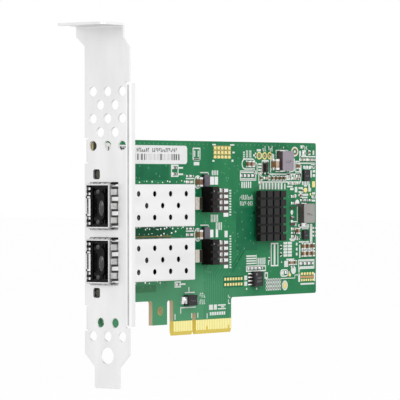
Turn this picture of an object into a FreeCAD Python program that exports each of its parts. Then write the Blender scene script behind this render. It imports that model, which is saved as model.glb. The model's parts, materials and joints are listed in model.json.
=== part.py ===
"""Two-port optical network interface card on a full-height slot bracket.

Frame: the origin is the centre of the key notch at the contact edge, on the board's component face.
+X runs from the bracket into the computer, the component side faces -Y and +Z points up, away from
the slot. Lengths are in millimetres. Each sub-part is written to parts/NAME.step.
"""
import FreeCAD
import Part
import math
import os

V = FreeCAD.Vector

# ---------------------------------------------------------------- board
BOARD_THICK = 1.57
BOARD_HEIGHT = 66.7
BOARD_EDGE_Z = 12.15
KEY_FROM_FACE = 58.05
BOARD_START = 1.5
BOARD_END = 133.7
FOOT_END = 19.0
FOOT_Z = 3.9
LOCATOR_START = 34.0
LOCATOR_WIDTH = 8.45
LOCATOR_Z = 3.9
LOCATOR_HOLE_R = 1.05
LOCATOR_HOLE_Z = 8.65
KEY_WIDTH = 1.9
KEY_DEPTH = 7.5
FINGERS_BEFORE_KEY = 12.15
FINGERS_AFTER_KEY = 22.15
BEVEL_DEPTH = 0.45
BEVEL_HEIGHT = 1.3
BOARD_CORNER_R = 0.8
NECK_R = 1.0

# ---------------------------------------------------------------- edge contacts
CONTACT_PITCH = 1.0
CONTACT_WIDTH = 0.7
CONTACT_LENGTH = 3.5
CONTACT_START_Z = 1.35
CONTACT_THICK = 0.04
CONTACTS_BEFORE_KEY = 11
CONTACTS_AFTER_KEY = 21
CONTACT_FROM_KEY = 1.5
SHORT_CONTACT_CUT = 1.2
SHORT_COMPONENT_CONTACTS = (17, 30)
SHORT_SOLDER_CONTACTS = (0,)

# ---------------------------------------------------------------- bracket
SHEET = 0.86
BEND_R = 0.5
BRACKET_WIDTH = 18.42
BRACKET_HEIGHT = 120.02
BRACKET_BOTTOM_Z = -15.33
TONGUE_WIDTH = 10.19
TONGUE_TOP_Z = -8.3
SHOULDER_Z = -4.0
TONGUE_CORNER_R = 0.8
HEAD_OVERHANG = 3.58
HEAD_INSET = 2.48
HEAD_WIDE_DROP = 4.09
HEAD_TAPER = 3.3
TAB_DEPTH = 11.43
TAB_CORNER_R = 1.5
NOTCH_WIDTH = 4.42
NOTCH_DEPTH = 5.2
NOTCH_FROM_FACE = 5.6
FLANGE_BOTTOM_Z = 5.1
FLANGE_TOP_Z = 84.9
FLANGE_DEPTH = 3.25
BEND_RELIEF = 0.5
EAR_DEPTH = 12.0
EAR_WIDTH = 7.4
EAR_HOLE_X = 7.6
EAR_HOLE_R = 1.5
EAR_CORNER_R = 2.4
EAR_LOWER_Z = 7.6
EAR_UPPER_DROP = 3.8
SCREW_CLEARANCE = 0.2
VENT_R = 1.65
VENT_SIDES = 16
VENT_PITCH_Y = 6.03
VENT_PITCH_Z = 4.47
VENT_OFFSET_Y = -0.2
UPPER_VENT_Z = 64.44
UPPER_VENT_ROWS = 5
LOWER_VENT_Z = 1.83
LOWER_VENT_ROWS = 2
HOLE_R = 2.75
HOLE_Z = -4.55

# ---------------------------------------------------------------- board screws
SCREW_R = 1.45
SCREW_HEAD_R = 2.75
SCREW_HEAD_HEIGHT = 1.7
SCREW_BEVEL = 0.45
SCREW_TIP = 0.5
SHANK_SIDES = 12
CROSS_LENGTH = 2.8
CROSS_WIDTH = 0.6
CROSS_DEPTH = 0.9

# ---------------------------------------------------------------- ports
PORT_PITCH = 18.15
PORTS_ABOVE_MIDDLE = 0.325
CAGE_WIDTH = 14.3
CAGE_HEIGHT = 9.6
CAGE_LIFT = 0.15
CAGE_WALL = 0.3
CAGE_FRONT = 2.8
CAGE_LENGTH = 48.0
CAGE_CORNER_R = 0.5
CAGE_HOLE_R = 0.97
CAGE_HOLE_SIDES = 12
CAGE_HOLE_PITCH_X = 8.92
CAGE_HOLE_PITCH_Z = 3.95
CAGE_HOLE_START = 4.5
CAGE_HOLE_COLUMNS = 5
LATCH_WIDTH = 5.2
LATCH_LENGTH = 11.0
LATCH_GAP = 0.6
LATCH_WINDOW = 2.4
CAGE_FLOOR_CLEARANCE = 0.3
CAGE_LEG_WIDTH = 0.7
CAGE_LEG_LENGTH = 2.2
CAGE_LEG_CLEARANCE = 0.2
CAGE_LEG_FIRST = 13.0
CAGE_LEG_PITCH = 9.0
CAGE_LEGS = 4
OPENING_WIDTH = 15.8
OPENING_TOP_GAP = 1.75
OPENING_BOTTOM_GAP = 0.35
COLLAR_THICK = 0.15
COLLAR_LENGTH = 0.7
COLLAR_INSET = 0.15
SPRING_WIDTH = 1.9
SPRING_PITCH = 4.65
SPRING_RISE = 1.3
SPRING_SIDE_RISE = 0.45
SPRING_SIDE_PITCH = 2.3
SPRING_SLOT = 0.4
SPRING_SLOT_LENGTH = 4.9
SPRING_LENGTH = 3.2
SPRING_CREST_START = 1.4
SPRING_CREST_END = 2.3
SPRING_TIP_DROP = 0.45

PLUG_RECESS = 1.9
PLUG_DEPTH = 12.0
PLUG_CLEARANCE = 0.15
PLUG_CORNER_R = 0.7
PLUG_RIM = 0.9
PLUG_DISH = 0.8
PULL_SPAN = 9.6
PULL_REACH = 4.2
PULL_THICK = 1.1
PULL_STAND = 0.9
PULL_BEND_R = 2.1
PULL_WEB = 0.5

SOCKET_WIDTH = 11.8
SOCKET_HEIGHT = 5.6
SOCKET_LENGTH = 9.0
SOCKET_SLOT = 1.3
SOCKET_SLOT_WIDTH = 9.6
SOCKET_SLOT_DEPTH = 5.5
SOCKET_BEVEL = 0.45
SOCKET_REAR_GAP = 1.6
SOCKET_CONTACTS = 10
SOCKET_PITCH = 0.8
SOCKET_TAIL_WIDTH = 0.35
SOCKET_TAIL_THICK = 0.2
SOCKET_TAIL_LENGTH = 1.0

# ---------------------------------------------------------------- status lamps
WINDOW_WIDTH = 2.8
WINDOW_HEIGHT = 3.3
WINDOW_R = 0.7
WINDOW_Y = -2.5
LAMP_FROM_CAGE = 3.3
LAMP_WIDTH = 4.2
LAMP_DEPTH = 4.4
LAMP_HEIGHT = 4.6
LAMP_START = 1.3
LAMP_BEVEL = 0.6
LENS_DEPTH = 2.2
LENS_R = 1.1
LENS_STAND = 0.35

# ---------------------------------------------------------------- controller and its heat sink
CHIP_X = 101.85
CHIP_Z = 40.5
CHIP_SIDE = 11.0
CHIP_HEIGHT = 1.0
CHIP_BEVEL = 0.3
PAD_THICK = 0.3
PAD_SIDE = 9.8
SINK_WIDTH = 16.0
SINK_HEIGHT = 17.8
SINK_BASE = 0.6
PIN_HEIGHT = 1.3
PIN_COLUMNS = 4
PIN_ROWS = 6
PIN_GAP_X = 1.0
PIN_GAP_Z = 0.75

# ---------------------------------------------------------------- line filters behind the ports
FILTER_X = 62.5
FILTER_WIDTH = 4.0
FILTER_LENGTH = 8.8
FILTER_HEIGHT = 4.85
FILTER_RIBS = 4
FILTER_GROOVE = 0.7
FILTER_GROOVE_DEPTH = 0.9
FILTER_RISE_Z = 1.85
FILTER_LEAD_WIDTH = 0.8
FILTER_LEAD_REACH = 1.1
FILTER_LEAD_THICK = 0.25
FILTER_LEAD_TOP = 1.6

# ---------------------------------------------------------------- power inductors
INDUCTOR_SIDE = 7.0
INDUCTOR_HEIGHT = 2.6
INDUCTOR_CHAMFER = 0.4
INDUCTOR_BEVEL = 0.2
INDUCTOR_FOOT = 0.15
INDUCTOR_PAD_WIDTH = 3.0
INDUCTOR_PAD_LENGTH = 1.2
PORT_COIL_WIDTH = 4.0
PORT_COIL_LENGTH = 4.4
PORT_COIL_HEIGHT = 1.6
PORT_COIL_X = 58.9
PORT_COIL_RISE = 0.5
BEAD_X = 64.2
BEAD_RISE = 8.35
BEAD_WIDTH = 3.2
BEAD_LENGTH = 4.3
BEAD_HEIGHT = 1.4
MOULD_BEVEL = 0.18

# ---------------------------------------------------------------- moulded chips with leads
MEMORY_X = 90.9
MEMORY_Z = 18.2
MEMORY_BODY = 5.3
MEMORY_SPAN = 7.9
MEMORY_HEIGHT = 1.9
MEMORY_STANDOFF = 0.15
MEMORY_BEVEL = 0.3
MEMORY_LEADS = 4
MEMORY_PITCH = 1.27
LEAD_WIDTH = 0.42
LEAD_THICK = 0.2
LEAD_FOOT = 0.6
LEAD_SHOULDER = 0.9
REGULATOR_HEIGHT = 0.9
REGULATOR_BEVEL = 0.09
REGULATORS = [(126.9, 54.9, 4.0), (126.3, 33.4, 3.3)]
DIODE_X = 51.6
DIODE_Z = 11.9
DIODE_WIDTH = 5.4
DIODE_LENGTH = 3.6
DIODE_HEIGHT = 2.2
DIODE_BEVEL = 0.2
DIODE_TERMINAL = 0.3
DIODE_TERMINAL_WIDTH = 2.4
DIODE_TERMINAL_TOP = 1.75
DIODE_PAD = 1.5
TRANSISTOR_PLACE = (101.1, 57.6)
TRANSISTOR_WIDTH = 1.4
TRANSISTOR_LENGTH = 2.9
TRANSISTOR_HEIGHT = 1.0
TRANSISTOR_BEVEL = 0.12

# ---------------------------------------------------------------- chip parts: length, width, height
CAP_LARGE = (3.2, 1.7, 1.6)
CAP_TALL = (3.9, 2.0, 2.0)
CAP_MEDIUM = (2.1, 1.3, 1.1)
CAP_SMALL = (1.6, 0.8, 0.8)
RESISTOR = (1.6, 0.8, 0.45)
RESISTOR_LARGE = (2.0, 1.25, 0.55)
END_SHARE = 0.2
END_PROUD = 0.04

# ---------------------------------------------------------------- label
LABEL_START = 15.0
LABEL_END = 54.0
LABEL_TOP_GAP = 1.7
LABEL_HEIGHT = 6.3
LABEL_THICK = 0.08
LABEL_CORNER_R = 1.2

# ---------------------------------------------------------------- worked-out planes
FACE_X = -KEY_FROM_FACE
SOLDER_Y = BOARD_THICK
BRACKET_SOLDER_Y = SOLDER_Y + SHEET
BRACKET_PART_Y = BRACKET_SOLDER_Y - BRACKET_WIDTH
BRACKET_MID_Y = (BRACKET_SOLDER_Y + BRACKET_PART_Y) / 2
BRACKET_TOP_Z = BRACKET_BOTTOM_Z + BRACKET_HEIGHT
HEAD_WIDE_Z = BRACKET_TOP_Z - HEAD_WIDE_DROP
HEAD_NARROW_Z = HEAD_WIDE_Z - HEAD_TAPER
EAR_UPPER_Z = BOARD_HEIGHT - EAR_UPPER_DROP
BEND_OUTER = BEND_R + SHEET
PORTS_MID_Z = (EAR_LOWER_Z + EAR_UPPER_Z) / 2 + PORTS_ABOVE_MIDDLE
PORT_LEVELS = {"upper": PORTS_MID_Z + PORT_PITCH / 2, "lower": PORTS_MID_Z - PORT_PITCH / 2}
WINDOW_REACH = (PORT_PITCH + CAGE_WIDTH) / 2 + LAMP_FROM_CAGE
WINDOW_LEVELS = {"upper": PORTS_MID_Z + WINDOW_REACH, "lower": PORTS_MID_Z - WINDOW_REACH}
LABEL_TOP_Z = BOARD_HEIGHT - LABEL_TOP_GAP
LABEL_BOTTOM_Z = LABEL_TOP_Z - LABEL_HEIGHT
CAGE_TOP_Y = -CAGE_LIFT - CAGE_HEIGHT
CAGE_X = FACE_X - CAGE_FRONT
BEVEL_OF_ROUND = 2 - math.sqrt(2)
OVERCUT = 1.0


def from_face(distance):
    """X of a place on the board, given its distance from the bracket's outer face."""
    return FACE_X + distance


# ---------------------------------------------------------------- shape helpers
def box(x_range, y_range, z_range):
    """Box between the given limits."""
    size = [high - low for low, high in (x_range, y_range, z_range)]
    return Part.makeBox(size[0], size[1], size[2], V(x_range[0], y_range[0], z_range[0]))


def square_at(x, z, width, length, y_range):
    """Box centred at x, z on the board."""
    return box((x - width / 2, x + width / 2), y_range, (z - length / 2, z + length / 2))


def chain(points, direction):
    """Prism of a closed straight-sided outline along direction."""
    outline = Part.makePolygon(points + points[:1])
    return Part.Face(outline).extrude(direction)


def edges_along(shape, direction, keep=None):
    """Straight edges parallel to direction, or those of them that keep accepts."""
    picked = []
    for edge in shape.Edges:
        if len(edge.Vertexes) != 2 or edge.Curve.TypeId != "Part::GeomLine":
            continue
        run = edge.Vertexes[1].Point - edge.Vertexes[0].Point
        along = run.normalize().dot(direction)
        if abs(abs(along) - 1) < 1e-6 and (keep is None or keep(edge.CenterOfMass)):
            picked.append(edge)
    return picked


def round_edges(shape, direction, radius, keep=None):
    """Fillet of the edges parallel to direction that keep accepts."""
    return shape.makeFillet(radius, edges_along(shape, direction, keep))


def bevel_edges(shape, direction, size):
    """Chamfer of all edges parallel to direction."""
    return shape.makeChamfer(size, edges_along(shape, direction))


def rounded_box(x_range, y_range, z_range, direction, radius):
    """Box with its edges along direction rounded."""
    return round_edges(box(x_range, y_range, z_range), direction, radius)


def drill_x(y, z, radius, start, length):
    """Cylinder along +X."""
    return Part.makeCylinder(radius, length, V(start, y, z), V(1, 0, 0))


def drill_y(x, z, radius, start, length):
    """Cylinder along +Y."""
    return Part.makeCylinder(radius, length, V(x, start, z), V(0, 1, 0))


def many_sided(centre, radius, sides, run):
    """Prism along run of a regular polygon in place of a cylinder, for small holes that repeat."""
    up = V(0, 0, 1)
    across = run.cross(up).normalize()
    turn = 2 * math.pi / sides
    corners = []
    for count in range(sides):
        angle = (count + 0.5) * turn
        corners.append(centre + across * (radius * math.cos(angle)) + up * (radius * math.sin(angle)))
    return chain(corners, run)


def bevel_top(shape, top_y, size):
    """Chamfer round the face that lies at top_y."""
    picked = []
    for edge in shape.Edges:
        if all(abs(vertex.Point.y - top_y) < 1e-6 for vertex in edge.Vertexes):
            picked.append(edge)
    return shape.makeChamfer(size, picked)


def fold(place, reach):
    """Face of a leg folded off the bracket: a quarter bend and a straight leg.

    place(u, v) gives a point from u, the distance past the start of the bend, and v, the depth
    below the outer skin that the bend starts from.
    """
    diagonal = math.sqrt(0.5)
    outer_mid = place(BEND_OUTER * diagonal, BEND_OUTER * (1 - diagonal))
    inner_mid = place(BEND_R * diagonal, BEND_OUTER - BEND_R * diagonal)
    start_outer = place(0, 0)
    end_outer = place(BEND_OUTER, BEND_OUTER)
    tip_outer = place(BEND_OUTER, reach)
    tip_inner = place(BEND_R, reach)
    end_inner = place(BEND_R, BEND_OUTER)
    start_inner = place(0, SHEET)
    edges = [
        Part.Arc(start_outer, outer_mid, end_outer).toShape(),
        Part.makeLine(end_outer, tip_outer),
        Part.makeLine(tip_outer, tip_inner),
        Part.makeLine(tip_inner, end_inner),
        Part.Arc(end_inner, inner_mid, start_inner).toShape(),
        Part.makeLine(start_inner, start_outer),
    ]
    return Part.Face(Part.Wire(edges))


# ---------------------------------------------------------------- board
def ear_places():
    """X and Z of the two screws that hold the board to the bracket."""
    x = from_face(EAR_HOLE_X)
    return [(x, EAR_LOWER_Z), (x, EAR_UPPER_Z)]


def cage_leg_places(level):
    """X and Z of a cage's solder legs, along its two side walls."""
    places = []
    for side in (-1, 1):
        z = level + side * (CAGE_WIDTH - CAGE_WALL) / 2
        for count in range(CAGE_LEGS):
            places.append((CAGE_X + CAGE_LEG_FIRST + count * CAGE_LEG_PITCH, z))
    return places


def make_board():
    """Laminate with its foot, locating tab, keyed contact tab, bevelled edge, holes and leg slots."""
    locator_end = LOCATOR_START + LOCATOR_WIDTH
    outline = [
        (from_face(BOARD_START), FOOT_Z),
        (from_face(FOOT_END), FOOT_Z),
        (from_face(FOOT_END), BOARD_EDGE_Z),
        (from_face(LOCATOR_START), BOARD_EDGE_Z),
        (from_face(LOCATOR_START), LOCATOR_Z),
        (from_face(locator_end), LOCATOR_Z),
        (from_face(locator_end), BOARD_EDGE_Z),
        (-FINGERS_BEFORE_KEY, BOARD_EDGE_Z),
        (-FINGERS_BEFORE_KEY, 0),
        (FINGERS_AFTER_KEY, 0),
        (FINGERS_AFTER_KEY, BOARD_EDGE_Z),
        (from_face(BOARD_END), BOARD_EDGE_Z),
        (from_face(BOARD_END), BOARD_HEIGHT),
        (from_face(BOARD_START), BOARD_HEIGHT),
    ]
    board = chain([V(x, 0, z) for x, z in outline], V(0, BOARD_THICK, 0))

    def is_outer_corner(point):
        return point.z > BOARD_HEIGHT - 1e-6 or point.x > from_face(BOARD_END) - 1e-6

    def is_neck(point):
        high = abs(point.z - BOARD_EDGE_Z) < 1e-6
        return high and point.x < FINGERS_AFTER_KEY + 1e-6

    board = round_edges(board, V(0, 1, 0), BOARD_CORNER_R, is_outer_corner)
    board = round_edges(board, V(0, 1, 0), NECK_R, is_neck)
    key_r = KEY_WIDTH / 2
    key = box((-key_r, key_r), (-OVERCUT, BOARD_THICK + OVERCUT), (-OVERCUT, KEY_DEPTH - key_r))
    key = key.fuse(drill_y(0, KEY_DEPTH - key_r, key_r, -OVERCUT, BOARD_THICK + 2 * OVERCUT))
    cuts = [key]
    for face_y, inward in ((0, 1), (BOARD_THICK, -1)):
        wedge = [
            V(-FINGERS_BEFORE_KEY - OVERCUT, face_y, BEVEL_HEIGHT),
            V(-FINGERS_BEFORE_KEY - OVERCUT, face_y + inward * BEVEL_DEPTH, 0),
            V(-FINGERS_BEFORE_KEY - OVERCUT, face_y, 0),
        ]
        run = FINGERS_BEFORE_KEY + FINGERS_AFTER_KEY + 2 * OVERCUT
        cuts.append(chain(wedge, V(run, 0, 0)))
    through = BOARD_THICK + 2 * OVERCUT
    hole_x = from_face(LOCATOR_START + LOCATOR_WIDTH / 2)
    cuts.append(drill_y(hole_x, LOCATOR_HOLE_Z, LOCATOR_HOLE_R, -OVERCUT, through))
    for x, z in ear_places():
        cuts.append(drill_y(x, z, SCREW_R + SCREW_CLEARANCE, -OVERCUT, through))
    slot_x = CAGE_LEG_WIDTH + 2 * CAGE_LEG_CLEARANCE
    slot_z = CAGE_WALL + 2 * CAGE_LEG_CLEARANCE
    for level in PORT_LEVELS.values():
        for x, z in cage_leg_places(level):
            cuts.append(square_at(x, z, slot_x, slot_z, (-OVERCUT, BOARD_THICK + OVERCUT)))
    return board.cut(cuts)


def contact_centres():
    """X of each contact of one row, counted away from the bracket."""
    first = -CONTACT_FROM_KEY - (CONTACTS_BEFORE_KEY - 1) * CONTACT_PITCH
    before = [first + count * CONTACT_PITCH for count in range(CONTACTS_BEFORE_KEY)]
    after = [CONTACT_FROM_KEY + count * CONTACT_PITCH for count in range(CONTACTS_AFTER_KEY)]
    return before + after


def make_contacts(face_y, outward, short_ones):
    """One row of plated contacts, with the shorter presence contacts named by their place."""
    pads = []
    y_range = sorted((face_y, face_y + outward * CONTACT_THICK))
    for place, x in enumerate(contact_centres()):
        start = CONTACT_START_Z + (SHORT_CONTACT_CUT if place in short_ones else 0)
        x_range = (x - CONTACT_WIDTH / 2, x + CONTACT_WIDTH / 2)
        pads.append(box(x_range, y_range, (start, CONTACT_START_Z + CONTACT_LENGTH)))
    return Part.makeCompound(pads)


# ---------------------------------------------------------------- bracket
def bracket_outline():
    """Outline of the bracket's plate, up to the bend of its top tab."""
    tongue = TONGUE_WIDTH / 2
    head_solder = BRACKET_SOLDER_Y + HEAD_OVERHANG
    head_part = BRACKET_PART_Y + HEAD_INSET
    bend_z = BRACKET_TOP_Z - BEND_OUTER
    return [
        (BRACKET_MID_Y + tongue, BRACKET_BOTTOM_Z),
        (BRACKET_MID_Y + tongue, TONGUE_TOP_Z),
        (BRACKET_SOLDER_Y, SHOULDER_Z),
        (BRACKET_SOLDER_Y, HEAD_NARROW_Z),
        (head_solder, HEAD_WIDE_Z),
        (head_solder, bend_z),
        (head_part, bend_z),
        (head_part, HEAD_WIDE_Z - SHEET),
        (BRACKET_PART_Y, HEAD_NARROW_Z - SHEET),
        (BRACKET_PART_Y, SHOULDER_Z),
        (BRACKET_MID_Y - tongue, TONGUE_TOP_Z),
        (BRACKET_MID_Y - tongue, BRACKET_BOTTOM_Z),
    ]


def vent_places():
    """Y and Z of the staggered vent holes, in rows of three and two."""
    centre = BRACKET_MID_Y + VENT_OFFSET_Y
    places = []
    for first_z, rows in ((UPPER_VENT_Z, UPPER_VENT_ROWS), (LOWER_VENT_Z, LOWER_VENT_ROWS)):
        for row in range(rows):
            steps = (-1, 0, 1) if row % 2 == 0 else (-0.5, 0.5)
            for step in steps:
                places.append((centre + step * VENT_PITCH_Y, first_z + row * VENT_PITCH_Z))
    return places


def port_opening(level):
    """Y and Z limits of the bracket's opening for one cage."""
    y_range = (CAGE_TOP_Y - OPENING_TOP_GAP, -CAGE_LIFT + OPENING_BOTTOM_GAP)
    return y_range, (level - OPENING_WIDTH / 2, level + OPENING_WIDTH / 2)


def make_tab():
    """Top tab, folded outwards, with the notch for the chassis screw."""
    head_solder = BRACKET_SOLDER_Y + HEAD_OVERHANG
    head_part = BRACKET_PART_Y + HEAD_INSET
    back_x = FACE_X + SHEET

    def place(u, v):
        return V(back_x - v, head_part, BRACKET_TOP_Z - BEND_OUTER + u)

    tab = fold(place, TAB_DEPTH).extrude(V(0, head_solder - head_part, 0))
    tip_x = back_x - TAB_DEPTH

    def at_tip(point):
        return point.x < tip_x + 1e-6

    tab = round_edges(tab, V(0, 0, 1), TAB_CORNER_R, at_tip)
    notch_x = FACE_X - NOTCH_FROM_FACE
    notch_r = NOTCH_WIDTH / 2
    end_y = head_solder - NOTCH_DEPTH + notch_r
    z_range = (BRACKET_TOP_Z - SHEET - OVERCUT, BRACKET_TOP_Z + OVERCUT)
    notch = box((notch_x - notch_r, notch_x + notch_r), (end_y, head_solder + OVERCUT), z_range)
    end = Part.makeCylinder(notch_r, z_range[1] - z_range[0], V(notch_x, end_y, z_range[0]))
    return tab.cut([notch, end])


def make_flange():
    """Stiffening flange, folded inwards along the component-side edge."""
    def place(u, v):
        return V(FACE_X + v, BRACKET_PART_Y + BEND_OUTER - u, FLANGE_BOTTOM_Z)

    return fold(place, FLANGE_DEPTH).extrude(V(0, 0, FLANGE_TOP_Z - FLANGE_BOTTOM_Z))


def make_ear(level):
    """Ear that is folded inwards behind the board and takes one of its screws."""
    def place(u, v):
        return V(FACE_X + v, BRACKET_SOLDER_Y - BEND_OUTER + u, level - EAR_WIDTH / 2)

    ear = fold(place, EAR_DEPTH).extrude(V(0, 0, EAR_WIDTH))

    def at_tip(point):
        return point.x > FACE_X + EAR_DEPTH - 1e-6

    ear = round_edges(ear, V(0, 1, 0), EAR_CORNER_R, at_tip)
    return ear.cut(drill_y(from_face(EAR_HOLE_X), level, EAR_HOLE_R, SOLDER_Y - OVERCUT, SHEET + 2 * OVERCUT))


def make_bracket():
    """Folded sheet bracket with its tab, flange, ears, vents, windows and port openings."""
    depth = (FACE_X - OVERCUT, FACE_X + SHEET + OVERCUT)
    plate = chain([V(FACE_X, y, z) for y, z in bracket_outline()], V(SHEET, 0, 0))

    def is_tongue_corner(point):
        return point.z < BRACKET_BOTTOM_Z + 1e-6

    plate = round_edges(plate, V(1, 0, 0), TONGUE_CORNER_R, is_tongue_corner)
    cuts = []
    for y, z in vent_places():
        cuts.append(many_sided(V(depth[0], y, z), VENT_R, VENT_SIDES, V(depth[1] - depth[0], 0, 0)))
    cuts.append(drill_x(BRACKET_MID_Y, HOLE_Z, HOLE_R, depth[0], depth[1] - depth[0]))
    for level in WINDOW_LEVELS.values():
        window_y = (WINDOW_Y - WINDOW_WIDTH / 2, WINDOW_Y + WINDOW_WIDTH / 2)
        window_z = (level - WINDOW_HEIGHT / 2, level + WINDOW_HEIGHT / 2)
        cuts.append(rounded_box(depth, window_y, window_z, V(1, 0, 0), WINDOW_R))
    for level in PORT_LEVELS.values():
        opening_y, opening_z = port_opening(level)
        cuts.append(box(depth, opening_y, opening_z))
    flange_z = (FLANGE_BOTTOM_Z - BEND_RELIEF, FLANGE_TOP_Z + BEND_RELIEF)
    cuts.append(box(depth, (BRACKET_PART_Y - OVERCUT, BRACKET_PART_Y + BEND_OUTER), flange_z))
    for _, level in ear_places():
        ear_z = (level - EAR_WIDTH / 2 - BEND_RELIEF, level + EAR_WIDTH / 2 + BEND_RELIEF)
        cuts.append(box(depth, (BRACKET_SOLDER_Y - BEND_OUTER, BRACKET_SOLDER_Y + OVERCUT), ear_z))
    plate = plate.cut(cuts)
    legs = [make_tab(), make_flange()] + [make_ear(level) for _, level in ear_places()]
    return plate.fuse(legs).removeSplitter()


def make_bracket_screws():
    """Pan-head screws that pass through the board into the bracket's ears."""
    screws = []
    for x, z in ear_places():
        head = drill_y(x, z, SCREW_HEAD_R, -SCREW_HEAD_HEIGHT, SCREW_HEAD_HEIGHT)
        rim = [edge for edge in head.Edges if abs(edge.CenterOfMass.y + SCREW_HEAD_HEIGHT) < 1e-6]
        head = head.makeChamfer(SCREW_BEVEL, rim)
        shank = many_sided(V(x, 0, z), SCREW_R, SHANK_SIDES, V(0, BRACKET_SOLDER_Y + SCREW_TIP, 0))
        screw = head.fuse(shank)
        for half_x, half_z in ((CROSS_LENGTH / 2, CROSS_WIDTH / 2), (CROSS_WIDTH / 2, CROSS_LENGTH / 2)):
            y_range = (-SCREW_HEAD_HEIGHT - OVERCUT, CROSS_DEPTH - SCREW_HEAD_HEIGHT)
            screw = screw.cut(box((x - half_x, x + half_x), y_range, (z - half_z, z + half_z)))
        screws.append(screw.removeSplitter())
    return Part.makeCompound(screws)


# ---------------------------------------------------------------- ports
def cage_box(level, inset, x_range):
    """Closed box of the cage's section, moved in by inset all round."""
    y_range = (CAGE_TOP_Y + inset, -CAGE_LIFT - inset)
    half = CAGE_WIDTH / 2 - inset
    return box(x_range, y_range, (level - half, level + half))


def spring_root_x():
    """X where the grounding fingers leave their collar."""
    return CAGE_X + COLLAR_INSET + COLLAR_LENGTH - COLLAR_THICK


def spring_levels(level):
    """Z of the three large grounding fingers of one cage."""
    return [level + step * SPRING_PITCH for step in (-1, 0, 1)]


def make_cage(level):
    """Folded sheet cage: open mouth, cooling holes, finger windows, latch tongue, rear opening, legs."""
    rear_x = CAGE_X + CAGE_LENGTH
    cage = round_edges(cage_box(level, 0, (CAGE_X, rear_x)), V(1, 0, 0), CAGE_CORNER_R)
    inside_x = (CAGE_X - OVERCUT, rear_x - CAGE_WALL)
    cage = cage.cut(cage_box(level, CAGE_WALL, inside_x))
    cuts = []
    above_y = CAGE_TOP_Y - OVERCUT
    punch = V(0, CAGE_WALL + 2 * OVERCUT, 0)
    for column in range(CAGE_HOLE_COLUMNS):
        x = from_face(CAGE_HOLE_START) + column * CAGE_HOLE_PITCH_X
        for side in (-1, 1):
            z = level + side * CAGE_HOLE_PITCH_Z
            cuts.append(many_sided(V(x, above_y, z), CAGE_HOLE_R, CAGE_HOLE_SIDES, punch))
        if column < CAGE_HOLE_COLUMNS - 1:
            middle_x = x + CAGE_HOLE_PITCH_X / 2
            cuts.append(many_sided(V(middle_x, above_y, level), CAGE_HOLE_R, CAGE_HOLE_SIDES, punch))
    slot_x = (spring_root_x() + COLLAR_THICK + SPRING_SLOT, spring_root_x() + SPRING_SLOT_LENGTH)
    slot_half = SPRING_WIDTH / 2 + SPRING_SLOT
    for z in spring_levels(level):
        cuts.append(box(slot_x, (above_y, above_y + punch.y), (z - slot_half, z + slot_half)))
    floor_y = (-CAGE_LIFT - CAGE_WALL - OVERCUT, -CAGE_LIFT + OVERCUT)
    for side in (-1, 1):
        edge = level + side * LATCH_WIDTH / 2
        gap_z = sorted((edge, edge + side * LATCH_GAP))
        cuts.append(box((CAGE_X - OVERCUT, CAGE_X + LATCH_LENGTH), floor_y, gap_z))
    window_x = (CAGE_X + LATCH_LENGTH - 2 * LATCH_WINDOW, CAGE_X + LATCH_LENGTH - LATCH_WINDOW)
    cuts.append(box(window_x, floor_y, (level - LATCH_WINDOW / 2, level + LATCH_WINDOW / 2)))
    socket_half = SOCKET_WIDTH / 2 + CAGE_FLOOR_CLEARANCE
    opening_x = (socket_front_x() - SOCKET_TAIL_LENGTH - CAGE_FLOOR_CLEARANCE, rear_x - CAGE_WALL)
    cuts.append(box(opening_x, floor_y, (level - socket_half, level + socket_half)))
    cage = cage.cut(cuts)
    legs = []
    for x, z in cage_leg_places(level):
        y_range = (-CAGE_LIFT - CAGE_WALL, -CAGE_LIFT + CAGE_LEG_LENGTH)
        x_range = (x - CAGE_LEG_WIDTH / 2, x + CAGE_LEG_WIDTH / 2)
        legs.append(box(x_range, y_range, (z - CAGE_WALL / 2, z + CAGE_WALL / 2)))
    return cage.fuse(legs).removeSplitter()


def spring_finger(rise):
    """Bent finger of unit placement: it starts at the origin, runs along +X and rises along +Z."""
    skin = [
        (0, 0),
        (SPRING_CREST_START, rise),
        (SPRING_CREST_END, rise),
        (SPRING_LENGTH, rise * (1 - SPRING_TIP_DROP)),
    ]
    outer = [V(x, -SPRING_WIDTH / 2, z) for x, z in skin]
    inner = [V(x, -SPRING_WIDTH / 2, z - COLLAR_THICK) for x, z in reversed(skin)]
    return chain(outer + inner, V(0, SPRING_WIDTH, 0))


def make_collar(level):
    """Grounding collar round the cage's neck, with bowed fingers that meet the bracket's opening."""
    x_range = (CAGE_X + COLLAR_INSET, CAGE_X + COLLAR_INSET + COLLAR_LENGTH)
    ring = cage_box(level, -COLLAR_THICK, x_range)
    ring = bevel_edges(ring, V(1, 0, 0), (CAGE_CORNER_R + COLLAR_THICK) * BEVEL_OF_ROUND)
    hollow = cage_box(level, 0, (x_range[0] - OVERCUT, x_range[1] + OVERCUT))
    hollow = bevel_edges(hollow, V(1, 0, 0), CAGE_CORNER_R * BEVEL_OF_ROUND)
    pieces = []
    root_x = spring_root_x()
    for z in spring_levels(level):
        finger = spring_finger(SPRING_RISE)
        finger.rotate(V(0, 0, 0), V(1, 0, 0), 90)
        finger.translate(V(root_x, CAGE_TOP_Y - COLLAR_THICK, z))
        pieces.append(finger)
    for side in (-1, 1):
        for step in (-1.5, -0.5, 0.5, 1.5):
            finger = spring_finger(SPRING_SIDE_RISE)
            if side < 0:
                finger.rotate(V(0, 0, 0), V(1, 0, 0), 180)
            mid_y = CAGE_TOP_Y + CAGE_HEIGHT / 2 + step * SPRING_SIDE_PITCH
            finger.translate(V(root_x, mid_y, level + side * (CAGE_WIDTH / 2 + COLLAR_THICK)))
            pieces.append(finger)
    return ring.cut(hollow).fuse(pieces).removeSplitter()


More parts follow.
